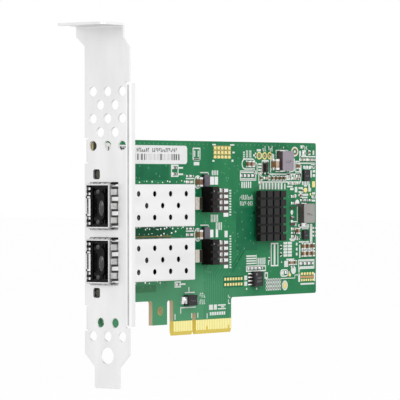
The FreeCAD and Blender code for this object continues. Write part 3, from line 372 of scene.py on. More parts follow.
@dataclass(frozen=True)
class LitTopFinish:
    """A fired or pressed body whose top is painted lighter than its sides: painted light on the top, painted
    shade on the sides.
    """

    name: str
    top: Colour
    top_tone: Colour
    side: Colour
    side_tone: Colour
    roughness: Span = (0.42, 0.58)
    speckle_mm: float = 0.35
    top_batch: Colour | None = None
    batch_mm: float = 7.0
    grain_mm: float = 0.10
    depth_um: float = 10.0
    gloss_mm: float = 0.8
    face_least: float = 0.5
    relief: float = 0.7

    def build(self) -> bpy.types.Material:
        """Make the material.

        Returns:
            The finished material.
        """
        bench = Bench(self.name)
        speckle = bench.spread(bench.noise(self.speckle_mm, 3.0), 0.0, 1.0)
        batch = bench.spread(bench.noise(self.batch_mm, 1.0), 0.0, 1.0)
        top = bench.mix(batch, bench.mix(speckle, self.top, self.top_tone), self.top_batch or self.top_tone)
        side = bench.mix(speckle, self.side, self.side_tone)
        # Painted light and shade: the top colour where a face lies parallel to the board, the darker side
        # colour elsewhere.
        bench.join(bench.mix(bench.facing(self.face_least), side, top), bench.surface.inputs["Base Color"])
        gloss = bench.spread(bench.noise(self.gloss_mm), *self.roughness)
        bench.join(gloss, bench.surface.inputs["Roughness"])
        bench.bump(bench.noise(self.grain_mm, 2.0), self.depth_um, self.relief)
        return bench.material


def grey(level: float) -> Colour:
    """Neutral colour of a level."""
    return level, level, level


def ink(name: str, colour: Colour, tone: Colour) -> Finish:
    """Matt printing ink."""
    return Finish(name, colour, tone, roughness=(0.5, 0.6), mottle_mm=0.3, grain_mm=0.05, depth_um=1.0)


class Metal(Enum):
    """The metal finishes of the card."""

    BRACKET = Finish("nickel_plated_bracket", grey(0.80), grey(0.86), metallic=0.85, roughness=(0.42, 0.52),
                     mottle_mm=5.0, grain_mm=0.10, depth_um=3.0, stretch=(1.0, 1.0, 0.25))
    CAGE = Finish("bright_tinned_sheet", grey(0.79), grey(0.87), metallic=1.0, roughness=(0.30, 0.42),
                  mottle_mm=6.0, grain_mm=0.20, depth_um=2.0, stretch=(0.25, 1.0, 1.0))
    # Painted shade: the collar's tinned sheet is given a far darker grey than the cage's sheet.
    SPRING = Finish("tinned_spring_sheet", grey(0.40), (0.62, 0.62, 0.61), metallic=1.0,
                    roughness=(0.24, 0.36), mottle_mm=1.2, grain_mm=0.10, depth_um=2.0)
    # Painted shade: darker metal for the line along the bracket's bend.
    BEND = Finish("pressed_bend_line", grey(0.36), grey(0.46), metallic=0.85, roughness=(0.42, 0.52),
                  grain_mm=0.10, depth_um=3.0)
    # Painted shade: a dark grey strip on the collar's side beside each mouth.
    SEAM = Finish("collar_seam", grey(0.13), grey(0.24), metallic=0.85, roughness=(0.42, 0.52),
                  mottle_mm=0.7, grain_mm=0.10, depth_um=3.0)
    SCREW = Finish("zinc_plated_screw", (0.62, 0.62, 0.60), (0.74, 0.74, 0.72), metallic=1.0,
                   roughness=(0.24, 0.36), mottle_mm=1.0, grain_mm=0.08, depth_um=3.0)
    TIN = Finish("tinned_terminal", (0.80, 0.80, 0.79), (0.90, 0.90, 0.89), metallic=1.0,
                 roughness=(0.22, 0.36), mottle_mm=0.6, grain_mm=0.06, depth_um=3.0)
    SOLDER = Finish("bright_solder", (0.78, 0.79, 0.80), grey(0.90), metallic=1.0, roughness=(0.14, 0.26),
                    mottle_mm=0.4, grain_mm=0.10)
    GOLD = Finish("hard_gold_plate", (0.88, 0.70, 0.25), (0.95, 0.82, 0.40), metallic=1.0,
                  roughness=(0.22, 0.34), mottle_mm=0.8, grain_mm=0.06, depth_um=2.0)
    CONTACT = Finish("gold_edge_contact", (0.97, 0.90, 0.38), (1.0, 0.97, 0.54), metallic=1.0,
                     roughness=(0.28, 0.40), mottle_mm=1.6, grain_mm=0.06, depth_um=2.0,
                     stretch=(3.0, 1.0, 0.3))
    COPPER = Finish("orange_copper", (0.50, 0.24, 0.10), (0.66, 0.36, 0.18), metallic=0.7,
                    roughness=(0.34, 0.48), mottle_mm=0.7, grain_mm=0.08, depth_um=3.0)
    SINK = Finish("black_anodised_sink", grey(0.006), grey(0.013), roughness=(0.40, 0.55), mottle_mm=1.2,
                  grain_mm=0.07, stretch=(1.0, 0.4, 1.0), specular=0.22)


class Plastic(Enum):
    """The moulded, pressed, fired and printed finishes of the card."""

    GRIP = Finish("plug_grip_gloss", grey(0.005), grey(0.010), roughness=(0.14, 0.18), mottle_mm=2.5,
                  grain_mm=0.15, depth_um=5.0, coat=0.8)
    PLUG = Finish("glossy_black_plug", grey(0.004), grey(0.008), roughness=(0.12, 0.20), mottle_mm=2.5,
                  grain_mm=0.15, depth_um=5.0, specular=0.16)
    SOCKET = Finish("matt_black_socket", (0.015, 0.015, 0.016), grey(0.024), roughness=(0.5, 0.6))
    FILTER = Finish("black_filter_case", (0.004, 0.003, 0.0035), (0.010, 0.006, 0.007),
                    roughness=(0.30, 0.44), mottle_mm=1.2, grain_mm=0.08, depth_um=8.0, specular=0.16)
    LAMP = Finish("black_lamp_case", (0.030, 0.030, 0.024), (0.05, 0.05, 0.04), roughness=(0.42, 0.55))
    LENS = Finish("smoky_lens", (0.10, 0.11, 0.07), (0.15, 0.16, 0.10), roughness=(0.05, 0.12),
                  transmission=0.6)
    CHIP = Finish("moulding_compound", (0.014, 0.013, 0.016), (0.028, 0.026, 0.030), roughness=(0.42, 0.56),
                  mottle_mm=0.9, grain_mm=0.07, depth_um=9.0, specular=0.25)
    THERMAL = Finish("grey_thermal_pad", (0.35, 0.36, 0.37), (0.42, 0.42, 0.43), roughness=(0.7, 0.8))
    RESISTOR = Finish("dark_resistor_glaze", (0.030, 0.020, 0.018), (0.075, 0.040, 0.032),
                      roughness=(0.2, 0.34), mottle_mm=0.4, grain_mm=0.08, depth_um=4.0)
    PAPER = Finish("matt_label_paper", grey(0.86), grey(0.91), roughness=(0.55, 0.66), mottle_mm=1.6,
                   grain_mm=0.07, depth_um=5.0)
    PRINT = Finish("white_legend_ink", (0.76, 0.82, 0.77), (0.86, 0.90, 0.86), roughness=(0.5, 0.62),
                   mottle_mm=0.5, grain_mm=0.05, depth_um=3.0)
    INK = ink("dark_label_ink", (0.050, 0.050, 0.055), grey(0.10))
    GREY_INK = ink("grey_label_ink", (0.10, 0.10, 0.11), (0.16, 0.16, 0.17))
    PALE_INK = ink("pale_label_ink", (0.50, 0.50, 0.51), (0.60, 0.60, 0.61))
    TOP_INK = ink("package_mark_ink", grey(0.16), grey(0.24))
    LAMINATE = Finish("bare_laminate", (0.30, 0.26, 0.06), (0.44, 0.36, 0.10), mottle_mm=0.8, grain_mm=0.08,
                      depth_um=5.0)
    # Mostly painted shadow: darker mask where the cages and the heat sink shade the board; also the darker
    # mask between gold pads.
    SHADED_MASK = Finish("mask_clear_of_copper", (0.006, 0.135, 0.056), (0.012, 0.175, 0.076),
                         roughness=(0.32, 0.44), mottle_mm=4.0, grain_mm=0.10, depth_um=4.0, specular=0.09)
    # Partly painted shadow: a darker band under the lower cage, over copper under the mask.
    PALE_SHADE = Finish("pale_mask_clear_of_copper", (0.052, 0.215, 0.098), (0.070, 0.245, 0.118),
                        roughness=(0.32, 0.44), mottle_mm=4.0, grain_mm=0.10, depth_um=4.0, specular=0.09)
    # Painted shade: dark olive for the bracket's shadow on the board and the shadow across the coils' tops.
    OLIVE = Finish("olive_lacquer", (0.020, 0.022, 0.010), (0.034, 0.036, 0.018), mottle_mm=1.5,
                   specular=0.2)
    TRACK = Finish("mask_over_track", (0.012, 0.185, 0.076), (0.022, 0.235, 0.096), roughness=(0.30, 0.42),
                   grain_mm=0.10, depth_um=4.0, specular=0.09)
    VIA = Finish("mask_over_hole_rim", (0.05, 0.28, 0.14), (0.10, 0.36, 0.20), roughness=(0.30, 0.42),
                 mottle_mm=1.0, grain_mm=0.10, depth_um=4.0)


class Fired(Enum):
    """Bodies whose tops are painted lighter than their sides, as painted light and shade."""

    FERRITE_A = LitTopFinish("mauve_ferrite", top=(0.25, 0.21, 0.26), top_tone=(0.34, 0.30, 0.35),
                            side=(0.045, 0.032, 0.034), side_tone=(0.11, 0.075, 0.075))
    FERRITE_B = LitTopFinish("grey_ferrite", top=(0.27, 0.265, 0.25), top_tone=(0.35, 0.345, 0.33),
                            side=(0.045, 0.034, 0.034), side_tone=(0.11, 0.08, 0.075))
    CERAMIC = LitTopFinish("brown_ceramic", top=(0.56, 0.42, 0.28), top_tone=(0.70, 0.56, 0.40),
                          side=(0.20, 0.095, 0.045), side_tone=(0.32, 0.17, 0.085), roughness=(0.34, 0.48),
                          speckle_mm=0.5, top_batch=(0.16, 0.06, 0.035), batch_mm=6.0, grain_mm=0.08,
                          depth_um=6.0)
    BEAD = LitTopFinish("dark_ferrite_bead", top=(0.055, 0.050, 0.070), top_tone=(0.125, 0.115, 0.140),
                       side=(0.012, 0.011, 0.014), side_tone=(0.03, 0.026, 0.03), roughness=(0.3, 0.42),
                       speckle_mm=0.9)
    COIL = LitTopFinish("pale_coil_body", top=(0.50, 0.46, 0.41), top_tone=(0.74, 0.68, 0.62),
                       side=(0.34, 0.22, 0.18), side_tone=(0.55, 0.45, 0.38), roughness=(0.45, 0.6),
                       speckle_mm=0.9)


Recipe = Enum | MaskFinish


class Finishes:
    """Every material of the card, made once when it is first asked for."""

    def __init__(self) -> None:
        """Start with no materials."""
        self.made: dict[str, bpy.types.Material] = {}

    def get(self, finish: Recipe) -> bpy.types.Material:
        """Material of a finish.

        Args:
            finish: Named finish, or a finish with its own class.

        Returns:
            Its material.
        """
        recipe = finish.value if isinstance(finish, Enum) else finish
        if recipe.name not in self.made:
            self.made[recipe.name] = recipe.build()
        return self.made[recipe.name]

    def dress(self, node: str, finish: Recipe) -> None:
        """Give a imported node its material.

        Args:
            node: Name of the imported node.
            finish: Its finish.
        """
        mesh = frame["nodes"][node].data
        mesh.materials.clear()
        mesh.materials.append(self.get(finish))
        LOG.info("dressed %s", node)


@dataclass
class CardDress:
    """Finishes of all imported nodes."""

    finishes: Finishes
    plain: tuple[tuple[Recipe, tuple[str, ...]], ...] = (
        (MaskFinish(), ("board",)),
        (Metal.CONTACT, ("edge_contacts_component_side", "edge_contacts_solder_side")),
        (Metal.BRACKET, ("bracket",)),
        (Metal.SCREW, ("bracket_screws",)),
        (Metal.SINK, ("heat_sink",)),
        (Metal.TIN, ("module_socket_contacts", "line_filter_leads", "inductor_terminals", "memory_leads",
                     "diode_terminals", "capacitor_ends", "resistor_ends")),
        (Plastic.LENS, ("lamp_lenses",)),
        (Plastic.THERMAL, ("thermal_pad",)),
        (Plastic.CHIP, ("network_controller", "memory_chip", "regulators", "transistor", "diode")),
        (Plastic.RESISTOR, ("resistors",)),
        (Plastic.PAPER, ("label",)),
        (Fired.FERRITE_A, ("power_inductor_a",)),
        (Fired.FERRITE_B, ("power_inductor_b",)),
        (Fired.CERAMIC, ("capacitors",)),
        (Fired.COIL, ("port_coils",)),
        (Fired.BEAD, ("supply_beads",)),
    )
    paired: tuple[tuple[Recipe, str], ...] = (
        (Metal.CAGE, "cage"), (Metal.SPRING, "grounding_collar"), (Plastic.PLUG, "dust_plug"),
        (Plastic.SOCKET, "module_socket"), (Plastic.FILTER, "line_filter"), (Plastic.LAMP, "lamp_housing"))

    def build(self) -> None:
        """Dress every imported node."""
        for finish, nodes in self.plain:
            for node in nodes:
                self.finishes.dress(node, finish)
        for finish, stem in self.paired:
            for place in ("upper", "lower"):
                self.finishes.dress(f"{stem}_{place}", finish)


class Side(Enum):
    """The two faces of the board."""

    COMPONENT = "component"
    SOLDER = "solder"


class Mark(Enum):
    """Forms of the marks printed or plated on the board."""

    BAR = "bar"
    FRAME = "frame"
    OVAL = "oval"
    COMB = "comb"
    RUNGS = "rungs"
    GRID = "grid"
    STROKES = "strokes"
    DOT = "dot"
    RING = "ring"
    SPECKS = "specks"


@dataclass(frozen=True)
class Rectangle:
    """Rectangle on a face of the board, in board millimetres."""

    left: float
    low: float
    right: float
    high: float

    @property
    def wide(self) -> float:
        """Size along the board."""
        return self.right - self.left

    @property
    def tall(self) -> float:
        """Size up the board."""
        return self.high - self.low

    @property
    def middle(self) -> Place:
        """Middle of the rectangle."""
        return (self.left + self.right) / 2, (self.low + self.high) / 2

    def grown(self, by: float) -> "Rectangle":
        """Rectangle that reaches further out on every side."""
        return Rectangle(self.left - by, self.low - by, self.right + by, self.high + by)


@dataclass(frozen=True)
class Print(Rectangle):
    """One printed or plated mark and the rectangle that it fills."""

    mark: Mark = Mark.BAR
    columns: int = 1
    rows: int = 1


Prints = tuple[Print, ...]


@dataclass(frozen=True)
class Part(Rectangle):
    """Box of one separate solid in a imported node."""

    height: float = 0.0
    depth: float = 0.0


def marks(kind: Mark, *boxes: tuple[float, ...]) -> Prints:
    """Marks of one form, each from left, low, right and high, with columns and rows where it has them."""
    return tuple(Print(*box[:4], kind, *box[4:]) for box in boxes)


def again(items: Prints, count: int, along: float = 0.0, up: float = 0.0) -> Prints:
    """The same marks count times, at an even step along and up the board."""
    return tuple(replace(item, left=item.left + step * along, right=item.right + step * along,
                         low=item.low + step * up, high=item.high + step * up)
                 for step in range(count) for item in items)


@dataclass(frozen=True)
class BoardPlaces:
    """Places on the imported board: along from the bracket's outer face, and up from the contact edge."""

    face_x: float
    base_z: float
    front_y: float
    back_y: float

    @classmethod
    def read(cls) -> "BoardPlaces":
        """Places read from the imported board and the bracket's mount."""
        low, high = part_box("board")
        mounts = {mount["name"]: mount for mount in frame["record"]["mounts"]}
        return cls(mounts["bracket_face"]["pos_m"][0], low[2], low[1], high[1])

    def point(self, along: float, up: float, proud: float, side: Side) -> Vector:
        """Point in metres that stands proud of one face by so many millimetres."""
        y = self.front_y - proud * MM if side is Side.COMPONENT else self.back_y + proud * MM
        return Vector((self.face_x + along * MM, y, self.base_z + up * MM))

    def flat(self, point: Vector) -> Point:
        """Along, up and proud of the component face for a point in metres."""
        return (point.x - self.face_x) / MM, (point.z - self.base_z) / MM, (self.front_y - point.y) / MM

    def outline(self, node: str) -> Rectangle:
        """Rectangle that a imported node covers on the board."""
        left, low, _ = self.flat(Vector(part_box(node)[0]))
        right, high, _ = self.flat(Vector(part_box(node)[1]))
        return Rectangle(left, low, right, high)


def separate_parts(node: str, places: BoardPlaces, beyond: float | None = None) -> list[Part]:
    """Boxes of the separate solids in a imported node.

    Args:
        node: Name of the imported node.
        places: Places on the board.
        beyond: Keeps only what lies more than this many millimetres behind the component face.

    Returns:
        One box for each solid, from left to right.
    """
    mesh = frame["nodes"][node].data
    keys: dict[tuple[int, ...], int] = {}
    indices = [keys.setdefault(tuple(round(c / UM) for c in vertex.co), len(keys))
               for vertex in mesh.vertices]
    kept = [beyond is None or places.flat(vertex.co)[2] < -beyond for vertex in mesh.vertices]
    parent = list(range(len(keys)))

    def root(index: int) -> int:
        """Head of the group that an index is in.

        Args:
            index: Index of a corner.

        Returns:
            Index of the group's head.
        """
        while parent[index] != index:
            parent[index] = parent[parent[index]]
            index = parent[index]
        return index

    for edge in mesh.edges:
        first, second = edge.vertices
        if kept[first] and kept[second]:
            parent[root(indices[first])] = root(indices[second])
    groups: dict[int, list[Point]] = {}
    for vertex, index, keep in zip(mesh.vertices, indices, kept):
        if keep:
            groups.setdefault(root(index), []).append(places.flat(vertex.co))
    parts = []
    for points in groups.values():
        along, up, proud = zip(*points)
        parts.append(Part(min(along), min(up), max(along), max(up), max(proud), min(proud)))
    return sorted(parts, key=lambda part: part.middle)


def rounded(box: Rectangle, corner: float, steps: int = 3) -> Outline:
    """Outline of a rectangle with round corners.

    Args:
        box: The rectangle.
        corner: Radius of the corners.
        steps: Sides of each corner.

    Returns:
        Points of the outline, anticlockwise.
    """
    least = 0.1 * UM / MM
    corner = max(min(corner, box.wide / 2, box.tall / 2), least)
    inner = box.grown(-corner)
    centres = ((inner.right, inner.low, -90), (inner.right, inner.high, 0),
               (inner.left, inner.high, 90), (inner.left, inner.low, 180))
    points = []
    for along, up, start in centres:
        for step in range(steps + 1):
            angle = math.radians(start + 90 * step / steps)
            points.append((along + corner * math.cos(angle), up + corner * math.sin(angle)))
    return points


def oval(along: float, up: float, reach_along: float, reach_up: float, sides: int = 16) -> Outline:
    """Outline of an ellipse from its middle, half its length and half its height."""
    turns = [math.tau * step / sides for step in range(sides)]
    return [(along + reach_along * math.cos(turn), up + reach_up * math.sin(turn)) for turn in turns]


class Relief:
    """Raised marks or small parts that share one finish, gathered into one mesh."""

    sunk = 0.02
    rim = 0.04
    rim_share = 0.4
    rim_drop = 0.9

    def __init__(self, places: BoardPlaces, side: Side = Side.COMPONENT, ground: float = 0.0) -> None:
        """Start empty.

        Args:
            places: Places on the board.
            side: Face of the board that it lies on.
            ground: Millimetres from that face to the surface that it lies on.
        """
        self.places = places
        self.side = side
        self.ground = ground
        self.points: list[Vector] = []
        self.faces: list[tuple[int, ...]] = []

    def loft(self, outlines: list[Outline], levels: list[float], closed: bool = False) -> None:
        """Skin over a stack of outlines with the same number of points.

        Args:
            outlines: Outlines from first to last.
            levels: Height of each outline over the ground.
            closed: Joins the last outline to the first, with no caps.
        """
        start, count = len(self.points), len(outlines[0])
        for outline, level in zip(outlines, levels):
            self.points.extend(self.places.point(*place, self.ground + level, self.side) for place in outline)
        for level in range(len(outlines) if closed else len(outlines) - 1):
            here = start + level * count
            above = start + (level + 1) % len(outlines) * count
            for step in range(count):
                after = (step + 1) % count
                self.faces.append((here + step, here + after, above + after, above + step))
        if not closed:
            last = start + (len(outlines) - 1) * count
            self.faces.append(tuple(range(start, start + count)))
            self.faces.append(tuple(range(last, last + count)))

    def slab(self, box: Rectangle, height: float, corner: float = 0.08) -> None:
        """Flat piece with round corners and a sloped rim.

        Args:
            box: Its rectangle.
            height: Height over the ground.
            corner: Radius of the corners.
        """
        rim = min(height, self.rim, box.wide * self.rim_share, box.tall * self.rim_share)
        outer, inner = rounded(box, corner), rounded(box.grown(-rim), max(corner - rim, 0.0))
        self.loft([outer, outer, inner], [-self.sunk, height - rim * self.rim_drop, height])

    def hoop(self, outer: Outline, inner: Outline, height: float) -> None:
        """Flat ring of a height over the ground, between two outlines with as many points."""
        self.loft([outer, outer, inner, inner], [-self.sunk, height, height, -self.sunk], closed=True)

    def build(self, name: str, slot: str, material: bpy.types.Material, smooth: bool = False) -> None:
        """Make the piece.

        Args:
            name: Name of the piece.
            slot: Material slot of the record; not used.
            material: Its finish.
            smooth: Shades the faces smooth.
        """
        mesh = bpy.data.meshes.new(name)
        mesh.from_pydata(self.points, [], self.faces)
        shape = bmesh.new()
        shape.from_mesh(mesh)
        bmesh.ops.recalc_face_normals(shape, faces=shape.faces)
        shape.to_mesh(mesh)
        shape.free()
        for face in mesh.polygons:
            face.use_smooth = smooth
        mesh.materials.append(material)
        piece = bpy.data.objects.new(name, mesh)
        bpy.context.scene.collection.objects.link(piece)
        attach(piece, "root")
        LOG.info("built %s with %d faces", name, len(mesh.polygons))


@dataclass
class Printer:
    """Draws marks into a relief."""

    relief: Relief
    height: float = 0.035
    stroke: float = 0.48
    bar_share: float = 0.58
    stroke_pitch: float = 0.95
    seed: int = 5
    corner: float = 0.12
    inner_corner: float = 0.02
    bar_corner: float = 0.08
    cell_corner: float = 0.15
    ring_share: float = 0.6
    letter_line: float = 0.8
    letter_line_share: float = 0.42
    letter_width: float = 0.72
    foot_cuts: tuple[float, ...] = (0.0, 0.0, 0.3)
    head_cuts: tuple[float, ...] = (0.0, 0.0, 0.35)
    bar_levels: tuple[float, ...] = (0.0, 0.5, 1.0)
    dot_top: float = 0.85
    dot_edge: float = 0.7
    speck_reach: Span = (0.16, 0.42)
    speck_drift: Span = (0.2, 0.8)
    speck_inset: float = 0.2
    speck_flatness: float = 0.8

    def __post_init__(self) -> None:
        """Seed the generic strokes."""
        self.chance = random.Random(self.seed)

    def bar(self, item: Print) -> None:
        """Plain bar."""
        self.relief.slab(item, self.height)

    def outline(self, item: Print, corner: float) -> None:
        """Line round a rectangle.

        Args:
            item: Rectangle of the mark.
            corner: Radius of its corners.
        """
        line = min(self.stroke, item.wide / 3, item.tall / 3)
        inner = rounded(item.grown(-line), max(corner - line, self.inner_corner))
        self.relief.hoop(rounded(item, corner), inner, self.height)

    def frame(self, item: Print) -> None:
        """Rectangular outline."""
        self.outline(item, self.corner)

    def oval(self, item: Print) -> None:
        """Outline with fully round ends."""
        self.outline(item, min(item.wide, item.tall) / 2)

    def cells(self, item: Print, share_along: float, share_up: float, corner: float) -> None:
        """Bars in columns and rows.

        Args:
            item: Rectangle and number of columns and rows.
            share_along: Part of each column's width that is filled.
            share_up: Part of each row's height that is filled.
            corner: Radius of the bars' corners.
        """
        wide, tall = item.wide / item.columns, item.tall / item.rows
        for column in range(item.columns):
            for row in range(item.rows):
                left = item.left + (column + (1 - share_along) / 2) * wide
                low = item.low + (row + (1 - share_up) / 2) * tall
                cell = Rectangle(left, low, left + wide * share_along, low + tall * share_up)
                self.relief.slab(cell, self.height, corner)

    def comb(self, item: Print) -> None:
        """Upright bars side by side."""
        self.cells(item, self.bar_share, 1.0, self.bar_corner)

    def rungs(self, item: Print) -> None:
        """Level bars above each other."""
        self.cells(item, 1.0, self.bar_share, self.bar_corner)

    def grid(self, item: Print) -> None:
        """Small rectangles in columns and rows."""
        self.cells(item, self.bar_share, self.bar_share, self.cell_corner)

    def strokes(self, item: Print) -> None:
        """Short generic strokes in a row, which spell nothing.

        Args:
            item: Rectangle of the row.
        """
        count = max(int(item.wide / self.stroke_pitch), 1)
        pitch = item.wide / count
        line = min(self.stroke * self.letter_line, pitch * self.letter_line_share)
        for index in range(count):
            left = item.left + index * pitch
            low = item.low + item.tall * self.chance.choice(self.foot_cuts)
            high = item.high - item.tall * self.chance.choice(self.head_cuts)
            self.relief.slab(Rectangle(left, low, left + line, high), self.height)
            low = item.low + (item.tall - line) * self.chance.choice(self.bar_levels)
            self.relief.slab(Rectangle(left, low, left + pitch * self.letter_width, low + line), self.height)

    def dot(self, item: Print) -> None:
        """Round or oval spot.

        Args:
            item: Rectangle of the spot.
        """
        outer = oval(*item.middle, item.wide / 2, item.tall / 2)
        inner = oval(*item.middle, item.wide / 2 * self.dot_top, item.tall / 2 * self.dot_top)
        self.relief.loft([outer, outer, inner], [-self.relief.sunk, self.height * self.dot_edge, self.height])

    def ring(self, item: Print) -> None:
        """Round or oval ring.

        Args:
            item: Rectangle of the ring.
        """
        reach_along, reach_up = item.wide / 2, item.tall / 2
        line = min(self.stroke, reach_along * self.ring_share, reach_up * self.ring_share)
        self.relief.hoop(oval(*item.middle, reach_along, reach_up),
                         oval(*item.middle, reach_along - line, reach_up - line), self.height)

    def specks(self, item: Print) -> None:
        """Uneven spots scattered along a strip.

        Args:
            item: Rectangle of the strip and number of spots.
        """
        pitch = item.wide / item.columns
        for column in range(item.columns):
            reach = self.chance.uniform(*self.speck_reach)
            along = item.left + (column + self.chance.uniform(*self.speck_drift)) * pitch
            up = self.chance.uniform(item.low + self.speck_inset, item.high - self.speck_inset)
            reach_up = reach * self.speck_flatness
            self.dot(Print(along - reach, up - reach_up, along + reach, up + reach_up, Mark.DOT))

    def draw(self, items: Prints) -> None:
        """Draw every mark.

        Args:
            items: Marks to draw.
        """
        ways = {Mark.BAR: self.bar, Mark.FRAME: self.frame, Mark.OVAL: self.oval, Mark.COMB: self.comb,
                Mark.RUNGS: self.rungs, Mark.GRID: self.grid, Mark.STROKES: self.strokes, Mark.DOT: self.dot,
                Mark.RING: self.ring, Mark.SPECKS: self.specks}
        for item in items:
            ways[item.mark](item)


@dataclass
class Detail:
    """Surface detail of the card: the finishes and the places that each kind needs."""

    finishes: Finishes
    places: BoardPlaces


